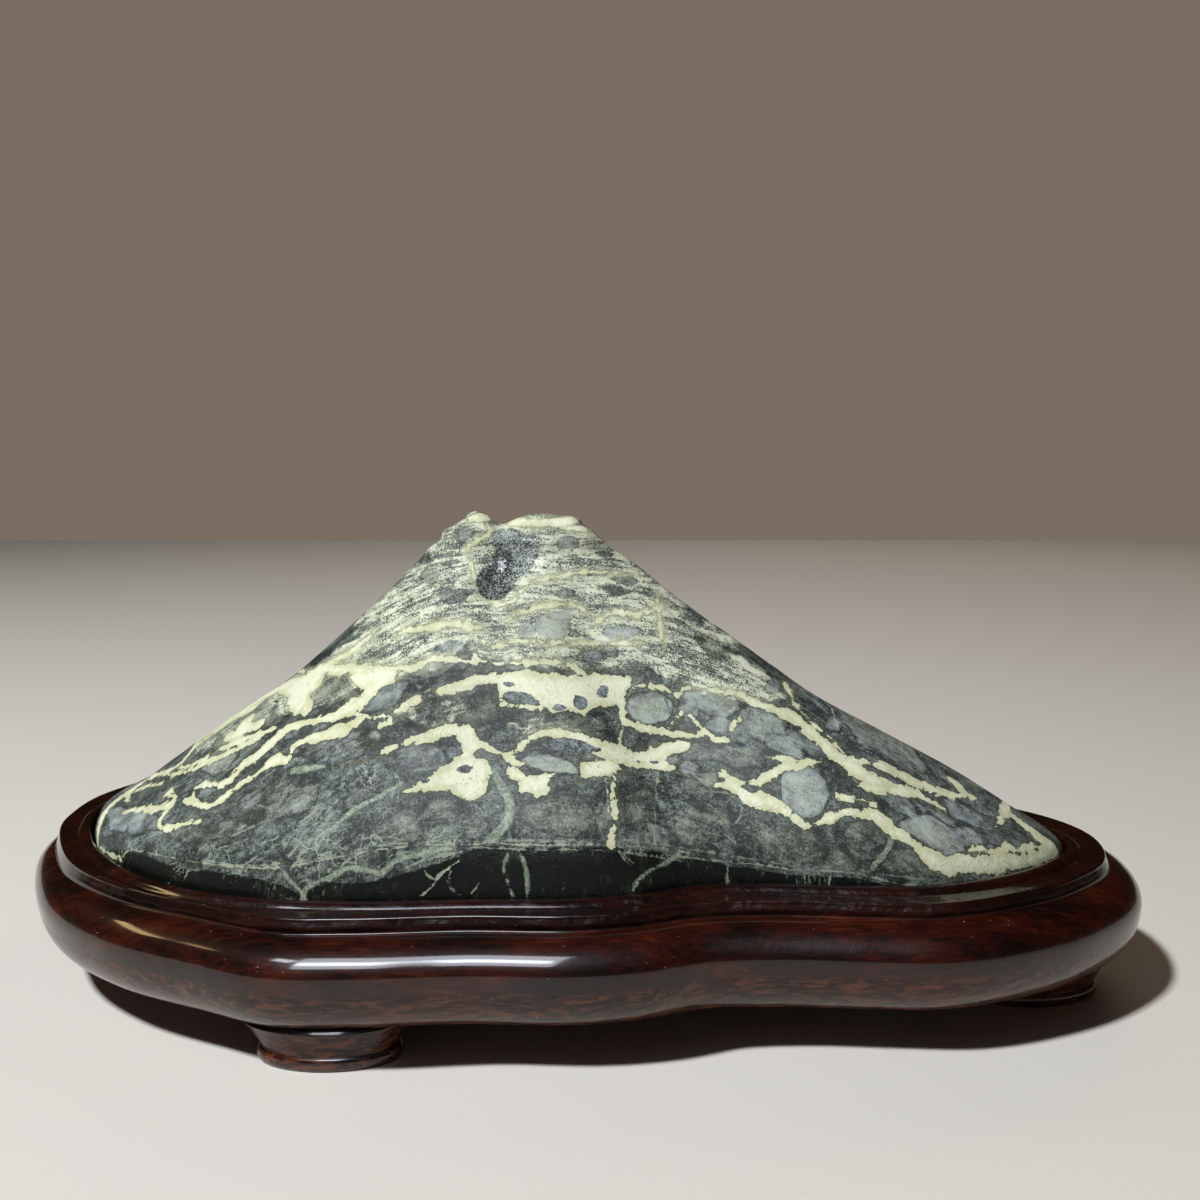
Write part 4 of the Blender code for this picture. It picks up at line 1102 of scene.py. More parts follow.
# ---- shaders ----
class Number:
    """A number in a shader: arithmetic on it adds Math nodes."""

    def __init__(self, paint, socket):
        self.paint = paint
        self.socket = socket

    def __add__(self, other):
        return self.paint.math("ADD", self, other)

    def __sub__(self, other):
        return self.paint.math("SUBTRACT", self, other)

    def __rsub__(self, other):
        return self.paint.math("SUBTRACT", other, self)

    def __mul__(self, other):
        return self.paint.math("MULTIPLY", self, other)

    def __neg__(self):
        return self * -1.0

    def __abs__(self):
        return self.paint.math("ABSOLUTE", self)

    __radd__ = __add__
    __rmul__ = __mul__

    def over(self, low, high):
        """0 at low and 1 at high, with level ends; low may be the greater."""
        return self.paint.number("ShaderNodeMapRange", {"interpolation_type": "SMOOTHSTEP"},
                                 {"Value": self, "From Min": low, "From Max": high})

    def larger(self, other):
        return self.paint.math("MAXIMUM", self, other)


class Paint:
    """A material while its nodes are added."""

    def __init__(self, name):
        self.material = bpy.data.materials.new(name)
        self.material.use_nodes = True
        self.tree = self.material.node_tree
        self.surface = self.tree.nodes["Principled BSDF"]

    def node(self, kind, settings, inputs):
        """Adds a node, sets it up, and gives its sockets their values or links."""
        made = self.tree.nodes.new(kind)
        for name, value in settings.items():
            setattr(made, name, value)
        for key, value in inputs.items():
            self.feed(made.inputs[key], value)
        return made

    def feed(self, socket, value):
        if isinstance(value, Number):
            self.tree.links.new(value.socket, socket)
        elif isinstance(value, bpy.types.NodeSocket):
            self.tree.links.new(value, socket)
        elif socket.type == "RGBA":
            socket.default_value = (*tuple(value)[:3], 1.0)
        else:
            socket.default_value = value

    def number(self, kind, settings, inputs, output=0):
        return Number(self, self.node(kind, settings, inputs).outputs[output])

    def math(self, operation, *values):
        return self.number("ShaderNodeMath", {"operation": operation}, dict(enumerate(values)))

    def place(self):
        """Object coordinates in millimetres."""
        where = self.node("ShaderNodeTexCoord", {}, {}).outputs["Object"]
        return self.node("ShaderNodeVectorMath", {"operation": "SCALE"},
                         {0: where, "Scale": 1 / MM}).outputs[0]

    def parts(self, vector):
        split = self.node("ShaderNodeSeparateXYZ", {}, {0: vector})
        return [Number(self, output) for output in split.outputs]

    def stretched(self, across, deep, high):
        return self.node("ShaderNodeCombineXYZ", {}, {0: across, 1: deep, 2: high}).outputs[0]

    def noise(self, where, size, detail=2.0, roughness=0.5, warp=0.0):
        """Soft random values about 0.5, in patches of a size in millimetres."""
        return self.number("ShaderNodeTexNoise", {}, {
            "Vector": where, "Scale": 1 / size, "Detail": detail, "Roughness": roughness,
            "Distortion": warp})

    def warped(self, where, size, amount):
        """A place pushed about by up to an amount in millimetres, in patches of a size."""
        push = self.node("ShaderNodeTexNoise", {}, {
            "Vector": where, "Scale": 1 / size, "Detail": 2.0}).outputs["Color"]
        return self.node("ShaderNodeVectorMath", {"operation": "MULTIPLY_ADD"},
                         {0: push, 1: (2 * amount,) * 3, 2: where}).outputs[0]

    def clasts(self, where, size):
        """Angular cells of a size: a random value for each, and the distance to its edge."""
        tone = self.node("ShaderNodeTexVoronoi", {}, {"Vector": where, "Scale": 1 / size})
        edge = self.number("ShaderNodeTexVoronoi", {"feature": "DISTANCE_TO_EDGE"},
                           {"Vector": where, "Scale": 1 / size})
        return self.parts(tone.outputs["Color"])[0], edge * size

    def stored(self, name):
        return self.node("ShaderNodeAttribute", {"attribute_name": name}, {})

    def stored_number(self, name):
        return Number(self, self.stored(name).outputs["Fac"])

    def stored_parts(self, name):
        return self.parts(self.stored(name).outputs["Vector"])

    def mix(self, share, first, second):
        """The first colour, turning into the second as the share goes from 0 to 1."""
        return self.node("ShaderNodeMix", {"data_type": "RGBA"},
                         {0: share, 6: first, 7: second}).outputs[2]

    def bump(self, height, depth):
        """A normal from a height of 0 to 1 that stands for a depth in metres."""
        return self.node("ShaderNodeBump", {}, {
            "Strength": 1.0, "Distance": depth, "Height": height}).outputs[0]


class StonePaint(Paint):
    """Green breccia: broken ground, pebbles, speckled layers, web, dark foot and cream veins.

    The random fields and the stored marks that several layers share are made once. Each method
    then lays one layer over the colour it is given.
    """

    def __init__(self, look):
        super().__init__("waxed_serpentine")
        self.look = look
        self.spot = self.place()
        self.across, self.deep, _ = self.parts(self.spot)
        self.layer = self.stored_number("stratum")
        self.speckled, self.webbed, self.striated = self.stored_parts("ground")
        self.cloud = self.noise(self.spot, 7.0, 4.0, 0.62, 0.6) - 0.5
        self.torn = self.noise(self.spot, 3.4, 4.0, 0.62, 0.5) - 0.5
        self.medium = self.noise(self.spot, 1.5, 3.0, 0.66) - 0.5
        self.grain = self.noise(self.spot, 0.45, 1.0) - 0.5
        self.dot = self.noise(self.spot, 0.34, 1.0) - 0.5
        self.fibre = self.noise(self.in_layers(0.14), 0.8, 4.0, 0.68, 0.4) - 0.5
        self.flow = self.noise(self.in_layers(0.14), 2.6, 3.0, 0.62, 0.5) - 0.5

    def in_layers(self, along):
        """A place in the layering, with steps along the layers shortened to a share."""
        return self.stretched(self.across * along, self.deep * along, self.layer)

    def upright(self, rise):
        """A place with steps across the layers shortened to a share, for marks that stand up."""
        return self.stretched(self.across, self.deep, self.layer * rise)

    def broken_ground(self):
        """Cloudy, cut into clasts with dark joints, and crossed by pale wisps."""
        look = self.look
        clast, joint = self.clasts(self.warped(self.in_layers(0.6), 5.0, 3.0), 6.0)
        level = self.cloud * 1.5 + self.medium * 1.5 + self.grain + self.dot * 1.3
        level = level + self.fibre * (self.striated * 1.4 + 1.1)
        level = level + (clast - 0.5) * 0.40 - self.webbed * 0.08 + 0.21
        ground = self.mix(level.over(0.0, 0.55), look.dark_matrix, look.mid_matrix)
        ground = self.mix(level.over(0.50, 1.05), ground, look.light_matrix)
        bluish = self.mix(level.over(0.0, 1.0), shade_of("blue ground, dark"),
                          shade_of("blue ground, light"))
        ground = self.mix(self.striated * 0.65, ground, bluish)
        ground = self.mix(joint.over(0.5, 0.05) * (self.torn + 0.55) * 0.8, ground, look.dark_matrix)
        wisp = abs(self.noise(self.spot, 3.4, 5.0, 0.68, 2.0) - 0.5).over(0.028, 0.004)
        return self.mix(wisp * (self.cloud * 2.4 + 0.34).over(0.1, 0.7) * 0.6, ground, look.light_matrix)

    def add_pebbles(self, ground):
        """Pebbles with cloudy insides, painted lighter in the middle and darker at the margin as painted
        shade that rounds them, and joints that are dark or pale; the dark ones are faint.
        """
        look = self.look
        pebble, tone, blueness = self.stored_parts("pebble")
        edge = pebble + self.torn * 2.0 + self.grain * 0.3
        heart_tint_and_shade = edge.over(-0.5, -3.0)
        palest = self.mix(blueness - heart_tint_and_shade * 0.35, look.green_pebble, look.blue_pebble)
        inner = self.noise(self.spot, 5.5, 3.0, 0.5, 0.7) - 0.5
        level = tone + inner * 1.2 + self.medium * 0.5 + self.fibre * 0.8 + self.grain * 0.5
        # Below, the middle is painted lighter and the margin just inside the edge darker. This is
        # painted shade that makes the pebble look rounded. The thin pale ring inside the edge is the
        # pebble's own colour.
        level = level + self.dot * 0.5 + heart_tint_and_shade * 0.16 - 0.13
        level = level + abs(edge + 1.0).over(0.7, 0.0) * 0.08 - edge.over(-0.9, 0.0) * 0.18
        self.pebble_edge = edge
        self.pebble_colour = self.mix(level.over(0.0, 1.0), look.dark_pebble, palest)
        clear = tone.over(0.30, 0.56)
        ground = self.mix(edge.over(0.10, -0.22) * (clear * 0.30 + 0.64), ground, self.pebble_colour)
        rim = abs(edge).over(0.30, 0.06) * (clear * 0.6 + 0.4)
        ground = self.mix(rim * (self.cloud + 0.60).over(0.35, 0.60) * 0.8, ground, look.dark_pebble)
        return self.mix(rim * (self.cloud + 0.42).over(0.35, 0.20) * 0.35, ground, look.pale_green)

    def add_speckled_layers(self, ground):
        """Cream bands peppered with dark, and dark bands peppered with cream."""
        pepper = self.flow * 1.9 + self.fibre * 2.8 + self.grain * 1.1 + self.dot * 1.6
        pepper = pepper + self.cloud * 0.9 - 0.02
        dark_band = self.mix((self.medium * 2 + self.dot * 2 + 0.5).over(0.0, 1.0),
                             shade_of("dark band, dark"), shade_of("dark band, light"))
        cream_band = self.mix((self.medium * 2 + self.cloud * 2 + 0.5).over(0.0, 1.0),
                              shade_of("cream band, dark"), shade_of("cream band, light"))
        salt = self.mix(pepper.over(-0.30, 0.26), dark_band, cream_band)
        ground = self.mix((self.speckled + self.torn * 1.6).over(0.30, 0.60) * 0.95, ground, salt)
        showing = self.pebble_edge.over(-0.15, -0.5) * self.speckled
        return self.mix(showing * 0.85, ground, self.pebble_colour)

    def add_web(self, ground):
        """Pale threads along the edges of warped cells, hairs along the layers, and a haze."""
        _, thread = self.clasts(self.warped(self.spot, 6.0, 2.0), 6.0)
        hair = self.noise(self.in_layers(0.45), 2.6, 3.0, 0.6, 0.7) - 0.5
        web = (thread + self.torn * 0.5).over(0.15, 0.03).larger(abs(hair).over(0.016, 0.004) * 0.85)
        web = web * (self.webbed + 0.14) * (self.torn * 2.4 + self.cloud * 1.5 + 0.5).over(0.1, 0.7)
        ground = self.mix(web * 0.85, ground, shade_of("web"))
        haze = (self.webbed + self.medium * 1.6 + self.cloud * 2.0 + self.fibre).over(0.6, 1.5)
        return self.mix(haze * 0.14, ground, self.look.light_matrix)

    def add_dark_foot(self, ground):
        """The nearly black band at the foot, faintly streaked upright and fringed at its top."""
        look = self.look
        foot = self.stored_number("foot_band") + self.torn * 1.4 + self.grain * 0.5
        bristle = self.noise(self.upright(0.3), 0.7, 3.0, 0.7, 0.6) - 0.5
        level = self.cloud * 1.5 + bristle * 1.5 + self.medium * 0.8 + 0.06
        colour_of_foot = self.mix(level.over(0.10, 0.80), look.foot_band, shade_of("foot, middle"))
        colour_of_foot = self.mix(level.over(0.55, 0.95), colour_of_foot, shade_of("foot, light"))
        fringe = abs(self.noise(self.upright(0.10), 1.3, 3.0, 0.6, 0.6) - 0.5).over(0.018, 0.003)
        fringe = fringe * foot.over(-3.2, -0.4) * (self.cloud + 0.5).over(0.50, 0.64)
        colour_of_foot = self.mix(fringe * 0.7, colour_of_foot, look.pale_green)
        return self.mix(foot.over(0.3, -0.1), ground, colour_of_foot)

    def add_pale_veins(self, ground):
        """Green-white veins, and the thin veins of every channel over them."""
        look = self.look
        pale = self.stored_number("pale") - 0.10 + self.torn * 1.6 + self.medium
        pale_colour = self.mix((self.medium * 2 + self.grain * 2 + self.torn * 2 + 0.5).over(0.1, 0.9),
                               shade_of("pale vein, dark"), look.pale_green)
        ground = self.mix(pale.over(0.25, -0.20) * 0.85, ground, pale_colour)
        for number in range(VeinChannels.COUNT):
            side, half, tone = self.stored_parts(f"vein_{number}")
            inside = half + self.torn * 1.3 + self.medium * 0.7 - 0.03
            inside = inside - abs(side + self.medium * 0.9 + self.grain * 0.5)
            vein = self.mix(tone.over(0.0, 0.5), look.dark_matrix, shade_of("thin vein, middle"))
            vein = self.mix(tone.over(0.5, 1.0), vein, shade_of("thin vein, light"))
            ground = self.mix(inside.over(-0.08, 0.14) * 0.84, ground, vein)
        return ground

    def add_cream_veins(self, ground):
        """Thick veins: near white inside, yellower at ragged edges, with a broken dark outline."""
        look = self.look
        cream = self.stored_number("cream") - 0.13 + self.torn * 3.3 + self.cloud * 0.9
        cream = cream + self.medium * 1.3 + self.fibre * 0.8
        self.cream_depth = cream
        outline = cream.over(0.8, 0.1) * (self.torn + 0.55).over(0.3, 0.6)
        ground = self.mix(outline * 0.65, ground, look.dark_pebble)
        dust = (cream + self.grain * 5.0 + self.medium * 3.0).over(1.1, 0.0) * cream.over(2.6, 0.6)
        ground = self.mix(dust * (self.speckled * 0.5 + 0.06), ground, look.cream_edge)
        body = (-cream) * 0.34 + self.medium * 1.6 + self.cloud * 2.0 + 0.16
        cream_colour = self.mix(body.over(0.0, 0.8), look.cream_edge, look.cream)
        stain = (self.medium * 1.6 + self.torn * 1.4 + self.grain * 1.6).over(0.22, 0.56)
        cream_colour = self.mix(stain * 0.55, cream_colour, shade_of("cream, stained"))
        return self.mix(cream.over(0.05, -0.05), ground, cream_colour)

    def add_specks(self, ground):
        """Dark bits set in the cream."""
        speck, tone, _ = self.stored_parts("speck")
        edge = speck + self.torn * 1.6 + self.grain * 0.6
        level = (tone + self.medium * 1.4 + self.grain + 0.16).over(0.0, 1.0)
        speck_colour = self.mix(level, self.look.dark_pebble, shade_of("speck, light"))
        return self.mix(edge.over(0.12, -0.10), ground, speck_colour)

    def add_stains_and_painted_glints(self, ground):
        """Faint rust, and the scoop below the summit and the dark pit in it, both speckled with painted
        glints.
        """
        rusty, pitted, hollow = self.stored_parts("stain")
        ground = self.mix(rusty * (self.medium + 0.5).over(0.3, 0.7) * 0.32, ground, self.look.rust)
        # Scoop and pit: the light speckles in their colour are painted glints.
        scoop_painted_glints = self.grain * 1.4 + self.dot * 1.8 + self.medium * 1.4 + 0.40
        scoop_painted_glints = self.mix(scoop_painted_glints.over(0.0, 1.0), shade_of("scoop, dark"), shade_of("scoop, painted glint"))
        ground = self.mix((hollow + self.torn * 1.4).over(0.35, 0.70) * 0.85, ground, scoop_painted_glints)
        pit = self.grain * 1.6 + self.dot * 2.0 + self.medium * 1.2 + 0.30
        pit = self.mix(pit.over(0.0, 1.0), shade_of("pit, dark"), shade_of("pit, painted glint"))
        return self.mix((pitted + self.torn * 0.9).over(0.34, 0.56), ground, pit)

    def finish(self, ground):
        """A satin skin that is waxed to a gloss in places, with a fine crust as its relief."""
        _, pitted, hollow = self.stored_parts("stain")
        polished = self.stored_number("polished")
        surface = self.surface.inputs
        self.feed(surface["Base Color"], ground)
        self.feed(surface["Roughness"], 0.50 + self.grain * 0.2 + self.medium * 0.2)
        glints = (self.grain * 3.0 + self.medium * 2.0 + self.torn * 1.5 + 0.12).over(0.05, 0.45)
        self.feed(surface["Coat Weight"], polished * glints * 0.7 + 0.015)
        surface["Specular IOR Level"].default_value = 0.25
        surface["Coat Roughness"].default_value = 0.20
        crust = self.grain * (hollow * 1.6 + pitted * 2.2 + polished * 1.2 + 0.45)
        crust = crust + self.medium * (polished * 2.0 + 1.2) + self.cream_depth.over(0.2, -0.2) * 0.4
        self.feed(surface["Normal"], self.bump(crust, 0.00016))


def stone_paint(settings):
    paint = StonePaint(settings)
    ground = paint.broken_ground()
    for add_layer in (paint.add_pebbles, paint.add_speckled_layers, paint.add_web,
                      paint.add_dark_foot, paint.add_pale_veins, paint.add_cream_veins,
                      paint.add_specks, paint.add_stains_and_painted_glints):
        ground = add_layer(ground)
    paint.finish(ground)
    return paint.material


def wood_paint(settings):
    """Dark red-brown wood with streaks along X and mottled figure, under a thick clear lacquer.

    Heights are in millimetres. The rim's top is painted darker, as painted shade, and is unevenly
    lacquered.
    The lower half of the moulding is browner, with streaks that are its grain and a painted warm
    reflection.
    The feet between toe and board are duller.
    """
    paint = Paint("lacquered_wood")
    place = paint.place()
    across, deep, high = paint.parts(place)
    streak = paint.noise(paint.stretched(across * 0.10, deep * 0.9, high * 0.9), 0.8, 4.0, 0.70, 0.4)
    broad = paint.noise(paint.stretched(across * 0.4, deep, high), 8.0, 3.0, 0.6, 0.4)
    figure = paint.noise(paint.stretched(across * 0.28, deep, high), 1.4, 3.0, 0.65, 0.6)
    pores = paint.noise(paint.stretched(across * 0.12, deep * 1.5, high * 1.5), 0.5, 2.0, 0.6)
    level = streak * 0.75 + figure * 0.45 + (broad - 0.5) * 1.1 - 0.1
    ground = paint.mix(level.over(0.30, 0.60), settings.dark_wood, settings.red_wood)
    ground = paint.mix((level + (pores - 0.5) * 0.6).over(0.56, 0.86) * 0.8, ground,
                       settings.orange_wood)
    ground = paint.mix(pores.over(0.58, 0.72) * 0.7, ground, settings.dark_wood)
    # The rim's top is painted darker: painted shade.
    rim_top_painted_shade = high.over(28.0, 30.0)
    ground = paint.mix(rim_top_painted_shade * 0.6, ground, settings.dark_wood)
    # Brown streaks on the lower half of the moulding: its grain, and a painted warm reflection of the
    # floor.
    lower_half = high.over(19.5, 17.5)
    grain_and_painted_reflection = lower_half * (figure * 0.9 + streak * 0.6).over(0.68, 0.92)
    ground = paint.mix(grain_and_painted_reflection * 0.8, ground, shade_of("lower streak and painted reflection"))
    dust = paint.noise(place, 0.35, 0.0)
    ground = paint.mix(dust.over(0.885, 0.91), ground, shade_of("dust"))
    surface = paint.surface.inputs
    paint.feed(surface["Base Color"], ground)
    paint.feed(surface["Roughness"], 0.42 + (streak - 0.5) * 0.2)
    surface["Specular IOR Level"].default_value = 0.15
    feet = high.over(2.6, 3.4) * high.over(9.0, 8.4)
    above_feet = high.over(9.0, 9.6)
    coat = feet * (-0.6) - lower_half * above_feet * 0.25 + 1.0
    paint.feed(surface["Coat Weight"], coat)
    surface["Coat Roughness"].default_value = 0.10
    surface["Coat IOR"].default_value = 1.45
    peel = paint.noise(place, 2.2, 2.0, 0.5)
    ripple = paint.noise(place, 9.0, 1.0, 0.5)
    fine = paint.noise(place, 0.5, 1.0, 0.5)
    swell = paint.noise(paint.stretched(across * 0.5, deep, high * 0.6), 5.0, 1.0, 0.5)
    height = peel * 0.6 + ripple * 1.3 + fine * 0.16 + streak * 0.3
    uneven_top = high.over(28.2, 29.6)
    height = height + uneven_top * (swell * 9.0 + peel * 2.4)
    paint.feed(surface["Normal"], paint.bump(height, 0.00013))
    return paint.material


def plain_paint(name, shade, roughness):
    paint = Paint(name)
    paint.feed(paint.surface.inputs["Base Color"], shade)
    paint.surface.inputs["Roughness"].default_value = roughness
    return paint.material


def wood_material():
    """The lacquered wood, made once and shared by the stand and its feet."""
    return bpy.data.materials.get("lacquered_wood") or wood_paint(bpy.context.scene.stand_settings)


# ---- building ----
def build_stone(settings):
    """Rings and columns of stone_surface, closed at the summit and under the base."""
    turns, drops = stone_grid(settings)
    turn, drop = np.meshgrid(turns, drops)
    rings = stone_surface(turn.ravel(), drop.ravel()).reshape(*turn.shape, 3)
    ends = stone_surface(np.zeros(2), np.array([0.0, 1.0]))
    ends[0] = rings[0].mean(axis=0)
    stone = closed_body("viewing_stone", rings, ends[0], ends[1])
    mesh = stone.data
    points = np.empty(len(mesh.vertices) * 3)
    normals = np.empty(len(mesh.vertices) * 3)
    mesh.vertices.foreach_get("co", points)
    mesh.vertices.foreach_get("normal", normals)
    points, normals = points.reshape(-1, 3), normals.reshape(-1, 3)
    faces = [tuple(face.vertices) for face in mesh.polygons]
    paint_marks(stone, Marks(points, normals, faces), settings)
    mesh.materials.append(stone_paint(settings))
    return stone


def stand_rings(settings):
    """The stand's profile, carried around its outlines as rings of points.

    From underneath: the moulding, made of quarters of two ovals that meet at its fullest line,
    the cove, the leaning wall of the rim and its rounded edge, the rim's top, the raised bead,
    the recess's wall and its floor. The moulding hangs on the rim's outline moved out, and the
    bead on the stone's outline moved out.
    """
    turn = np.arange(settings.columns) / settings.columns
    rim = around(RIM_OUTLINE, turn)
    rim_out = outward(rim)
    seat = around(STONE_OUTLINE, turn)
    seat_out = outward(seat)
    reach = by_side(rim_out, **NOSE_REACH)
    seat = seat + seat_out * by_side(seat_out, **RECESS_PLAY)[:, None]
    top, edge, batter, cove = RIM_HEIGHT, settings.rim_edge, settings.batter, settings.cove
    rings = []

    def ring(plan, height):
        rings.append(np.column_stack([plan, np.broadcast_to(height, len(plan))]))

    crown = np.arccos(np.clip(1 - (reach - batter - cove) / NOSE_DEPTH, -1, 1))
    for share in np.linspace(0, 1, 40):
        angle = -np.pi / 2 + share * (crown + np.pi / 2)
        tall = np.where(angle < 0, NOSE_MIDDLE - BOARD_UNDERSIDE, NOSE_RISE)
        offset = reach - NOSE_DEPTH * (1 - np.cos(angle))
        ring(rim + rim_out * offset[:, None], NOSE_MIDDLE + tall * np.sin(angle))
    shoulder = NOSE_MIDDLE + NOSE_RISE * np.sin(crown)
    for share in (0.2, 0.45, 0.7, 0.88, 1.0):
        ring(rim + rim_out * (batter + cove * (1 - share) ** 2), shoulder + cove * share ** 2)
    foot = shoulder + cove
    for share in (0.3, 0.6, 0.85, 1.0):
        ring(rim + rim_out * batter * (1 - share), foot + (top - edge - foot) * share)
    for share in np.linspace(0, 1, 7)[1:]:
        angle = share * np.pi / 2
        ring(rim + rim_out * edge * (math.cos(angle) - 1), top - edge * (1 - math.sin(angle)))
    inner_rim = rim - rim_out * edge
    bead_foot = seat + seat_out * settings.bead_width
    for share in np.linspace(0, 1, 7)[1:]:
        ring(inner_rim + (bead_foot - inner_rim) * share, top - RIM_SAG * math.sin(math.pi * share))
    for share, rise in BEAD:
        ring(seat + seat_out * settings.bead_width * (1 - share), top + settings.bead_rise * rise)
    for share in (0.4, 1.0):
        ring(seat, top + (RECESS_FLOOR - top) * share)
    ring(seat * 0.5, RECESS_FLOOR)
    return np.stack(rings)


def build_stand(settings):
    rings = stand_rings(settings)
    wander = np.stack([soft_noise(rings.reshape(-1, 3), WANDER_CELL, seed) for seed in (51, 52, 53)],
                      axis=1)
    rings = rings + (wander * WANDER).reshape(rings.shape)
    stand = closed_body("carved_stand", rings[::-1], (0, 0, RECESS_FLOOR), (0, 0, BOARD_UNDERSIDE))
    stand.data.materials.append(wood_material())
    return stand


def foot_radius(height):
    """How far the foot's ends stand out at each height: a round toe, then a hollow flare that
    widens as a power of the way up."""
    toe = FOOT_LENGTH / 2
    waist = toe - FOOT_WAIST
    from_toe = np.clip((height - TOE_HEIGHT / 2) / (TOE_HEIGHT / 2), -1, 1)
    bulge = waist - FOOT_NECK + (FOOT_WAIST + FOOT_NECK) * np.sqrt(1 - from_toe ** 2)
    rise = np.clip((height - TOE_HEIGHT) / (FOOT_TOP - TOE_HEIGHT), 0, 1)
    flare = waist - FOOT_NECK * (1 - rise) ** 6 + (FOOT_FLARE + FOOT_WAIST) * rise ** 1.5
    return np.where(height < TOE_HEIGHT, bulge, flare)


def build_foot(name, place, columns=96):
    """The foot's profile turned about its middle and squashed in depth."""
    x, y, degrees = place
    toe = TOE_HEIGHT / 2 * (1 - np.cos(np.linspace(0, np.pi, 17)))
    heights = np.concatenate([toe, np.linspace(TOE_HEIGHT, FOOT_TOP, 16)[1:]])
    angle = np.arange(columns) / columns * 2 * np.pi
    radius = foot_radius(heights)[:, None]
    along, beside = radius * np.cos(angle), radius * np.sin(angle) * FOOT_DEPTH / FOOT_LENGTH
    turn = math.radians(degrees)
    rings = np.stack([x + along * math.cos(turn) - beside * math.sin(turn),
                      y + along * math.sin(turn) + beside * math.cos(turn),
                      np.broadcast_to(heights[:, None], along.shape)], axis=-1)
    foot = closed_body(name, rings[::-1], (x, y, FOOT_TOP), (x, y, 0.0))
    foot.data.materials.append(wood_material())
    return foot


def add_light(name, place, target, size, power, shade=(1.0, 1.0, 1.0), shines=True, mirrored=True):
    """A rectangular light at a place, turned to face a target. One that does not shine is only
    seen in glossy skins, and one that is not mirrored only lights dull ones."""
    lamp = bpy.data.lights.new(name, "AREA")
    lamp.shape = "RECTANGLE"
    lamp.size, lamp.size_y = size
    lamp.energy = power
    lamp.color = shade
    light = bpy.data.objects.new(name, lamp)
    bpy.context.scene.collection.objects.link(light)
    light.location = place
    light.rotation_euler = (Vector(target) - Vector(place)).to_track_quat("-Z", "Y").to_euler()
    light.visible_diffuse = shines
    light.visible_glossy = mirrored
    light.visible_camera = False
    return light


def backdrop_paint(shade):
    """A surface that shines evenly in its own colour."""
    paint = Paint("plain_backdrop")
    paint.feed(paint.surface.inputs["Base Color"], (0.0, 0.0, 0.0))
    paint.feed(paint.surface.inputs["Emission Color"], shade)
    paint.surface.inputs["Emission Strength"].default_value = 1.0
    paint.surface.inputs["Specular IOR Level"].default_value = 0.0
    return paint.material


def build_world(settings):
    """Dim even light, behind which an eye sees the backdrop's shade."""
    world = bpy.data.worlds.new("ambient")
    world.use_nodes = True
    nodes, links = world.node_tree.nodes, world.node_tree.links
    path, mix = nodes.new("ShaderNodeLightPath"), nodes.new("ShaderNodeMix")
    mix.data_type = "RGBA"
    links.new(path.outputs["Is Camera Ray"], mix.inputs[0])
    mix.inputs[6].default_value = (*settings.ambient, 1.0)
    mix.inputs[7].default_value = (*settings.backdrop, 1.0)
    links.new(mix.outputs[2], nodes["Background"].inputs["Color"])
    bpy.context.scene.world = world


def build_studio(settings):
    half_width, near, far = 2.2, -1.4, 1.24
    wall, wall_half_width, wall_top = 3.0, 4.0, 3.2
    floor = mesh_object("floor", np.array([
        (-half_width, near, 0), (half_width, near, 0), (half_width, far, 0), (-half_width, far, 0)]),
        [(0, 1, 2, 3)])
    floor.data.materials.append(plain_paint("plain_floor", settings.floor, 0.55))
    backdrop = mesh_object("backdrop", np.array([
        (-wall_half_width, wall, -1), (wall_half_width, wall, -1), (wall_half_width, wall, wall_top),
        (-wall_half_width, wall, wall_top)]), [(0, 1, 2, 3)])
    backdrop.data.materials.append(backdrop_paint(settings.backdrop))
    backdrop.visible_diffuse = backdrop.visible_glossy = False
    build_world(settings)
    add_light("lamp", (-0.56, -0.55, 1.13), (0, 0, 0.03), (0.11, 0.11), settings.lamp_power,
              (1.0, 0.985, 0.955), mirrored=False)
    add_light("lamp_glare", (-0.52, -0.56, 1.13), (0, 0, 0.03), (0.26, 0.18), settings.glare_power,
              (0.90, 0.94, 1.0), shines=False)
    add_light("window", (-0.15, -0.62, 0.80), (0, 0, 0.03), (0.34, 0.56), settings.window_power,
              (0.86, 0.90, 1.0), shines=False)
    add_light("window_pane", (-0.17, -0.63, 0.78), (0, 0, 0.03), (0.28, 0.16),
              settings.window_power * 0.5, (0.90, 0.93, 1.0), shines=False)
    add_light("glow", (-0.78, 0.03, 0.62), (-0.08, -0.06, 0.024), (0.30, 0.07), settings.glow_power,
              (1.0, 0.72, 0.36), shines=False)
    add_light("back_light", (0.5, 1.2, 0.9), (0, 0, 0.05), (1.0, 0.6), settings.back_power,
              (1.0, 0.78, 0.56), mirrored=False)
    camera_data = bpy.data.cameras.new("viewing_camera")
    camera_data.lens = 36.0
    camera_data.sensor_width = 36.0
    camera_data.clip_start = 0.01
    camera = bpy.data.objects.new("viewing_camera", camera_data)
    camera.location = EYE
    camera.rotation_euler = (EYE_TILT, 0, 0)
    bpy.context.scene.collection.objects.link(camera)
    bpy.context.scene.camera = camera
    bpy.context.scene.view_settings.view_transform = "Standard"


def settle(piece, node):
    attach(piece, ROOT)
    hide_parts(node)


# ---- operators and panel ----
class AddStone(bpy.types.Operator):
    """Add the veined stone in place of its plain solid"""
    bl_idname = "viewing_stone.add_stone"
    bl_label = "Stone"

    def execute(self, context):
        settle(build_stone(context.scene.stone_settings), "stone")
        return {"FINISHED"}


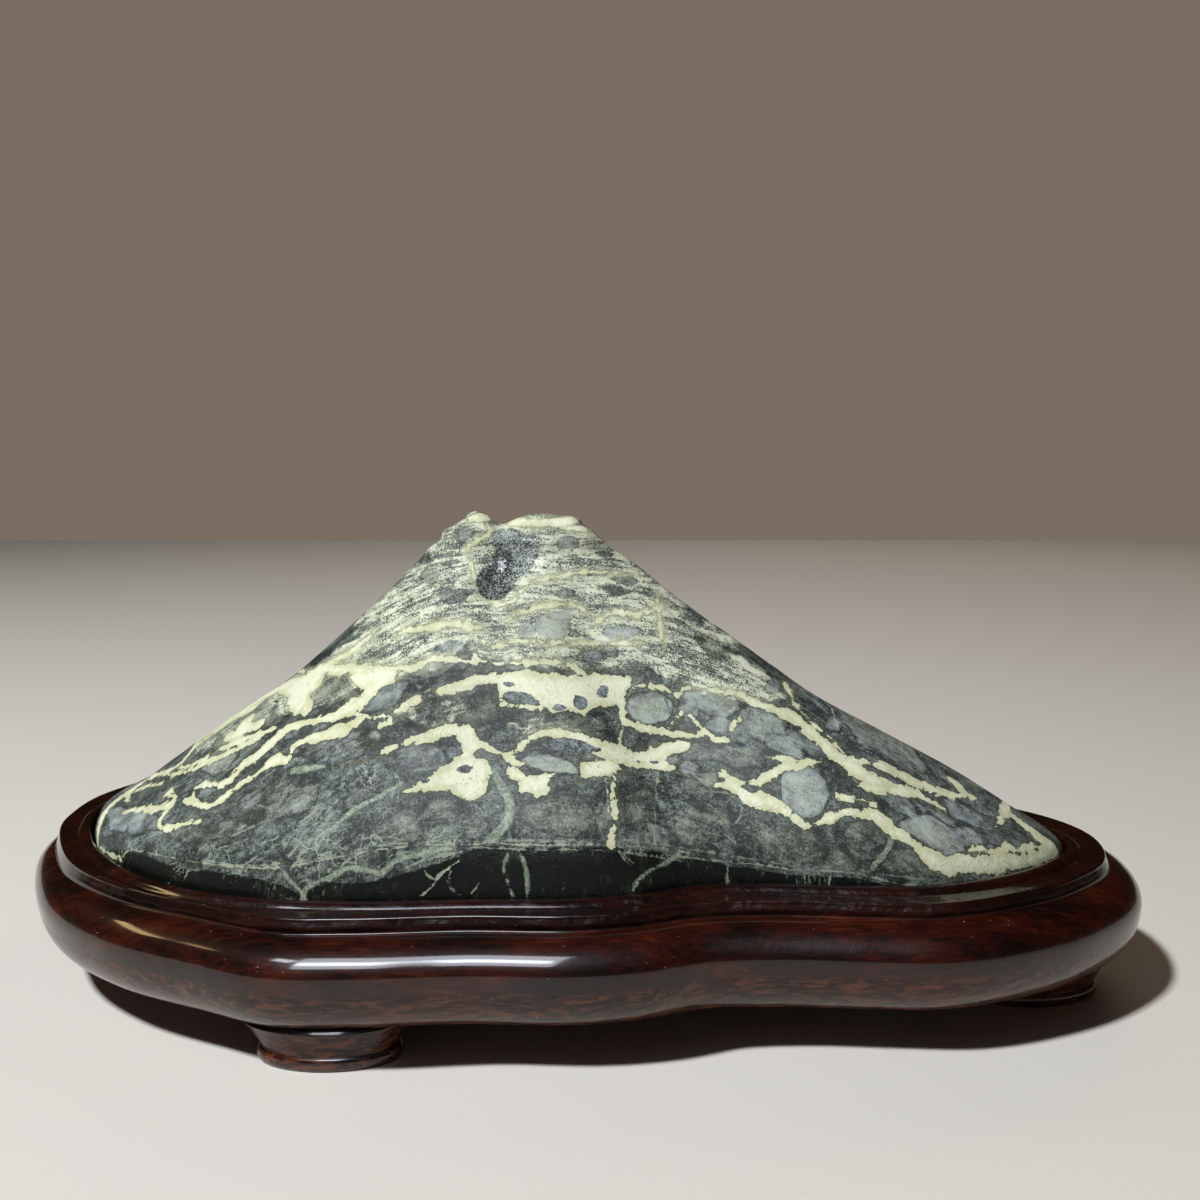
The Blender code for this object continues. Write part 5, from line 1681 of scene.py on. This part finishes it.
class AddStand(bpy.types.Operator):
    """Add the carved and lacquered stand in place of its plain solid"""
    bl_idname = "viewing_stone.add_stand"
    bl_label = "Stand"

    def execute(self, context):
        settle(build_stand(context.scene.stand_settings), "stand")
        return {"FINISHED"}


class AddFeet(bpy.types.Operator):
    """Add the four carved feet in place of their plain solids"""
    bl_idname = "viewing_stone.add_feet"
    bl_label = "Feet"

    def execute(self, context):
        for node in FEET:
            settle(build_foot(f"carved_{node}", FOOT_PLACES[node]), node)
        return {"FINISHED"}


class AddStudio(bpy.types.Operator):
    """Add the pale floor, the soft lights and the camera"""
    bl_idname = "viewing_stone.add_studio"
    bl_label = "Studio"

    def execute(self, context):
        build_studio(context.scene.studio_settings)
        return {"FINISHED"}


class ViewingStonePanel(bpy.types.Panel):
    """Settings and buttons for the stone, its stand and the studio"""
    bl_label = "Viewing Stone"
    bl_idname = "VIEW3D_PT_viewing_stone"
    bl_space_type = "VIEW_3D"
    bl_region_type = "UI"
    bl_category = "Viewing Stone"

    def draw(self, context):
        for name, operators in (("stone_settings", (AddStone,)), ("stand_settings", (AddStand, AddFeet)),
                                ("studio_settings", (AddStudio,))):
            settings = getattr(context.scene, name)
            box = self.layout.box()
            for setting in settings.__annotations__:
                box.prop(settings, setting)
            for operator in operators:
                box.operator(operator.bl_idname)


CLASSES = (StoneSettings, StandSettings, StudioSettings, AddStone, AddStand, AddFeet, AddStudio,
           ViewingStonePanel)


def register():
    for item in CLASSES:
        bpy.utils.register_class(item)
    bpy.types.Scene.stone_settings = PointerProperty(type=StoneSettings)
    bpy.types.Scene.stand_settings = PointerProperty(type=StandSettings)
    bpy.types.Scene.studio_settings = PointerProperty(type=StudioSettings)


def unregister():
    for name in ("stone_settings", "stand_settings", "studio_settings"):
        delattr(bpy.types.Scene, name)
    for item in reversed(CLASSES):
        bpy.utils.unregister_class(item)


def main():
    register()
    bpy.ops.viewing_stone.add_stone()
    bpy.ops.viewing_stone.add_stand()
    bpy.ops.viewing_stone.add_feet()
    bpy.ops.viewing_stone.add_studio()


if __name__ == "__main__":
    main()
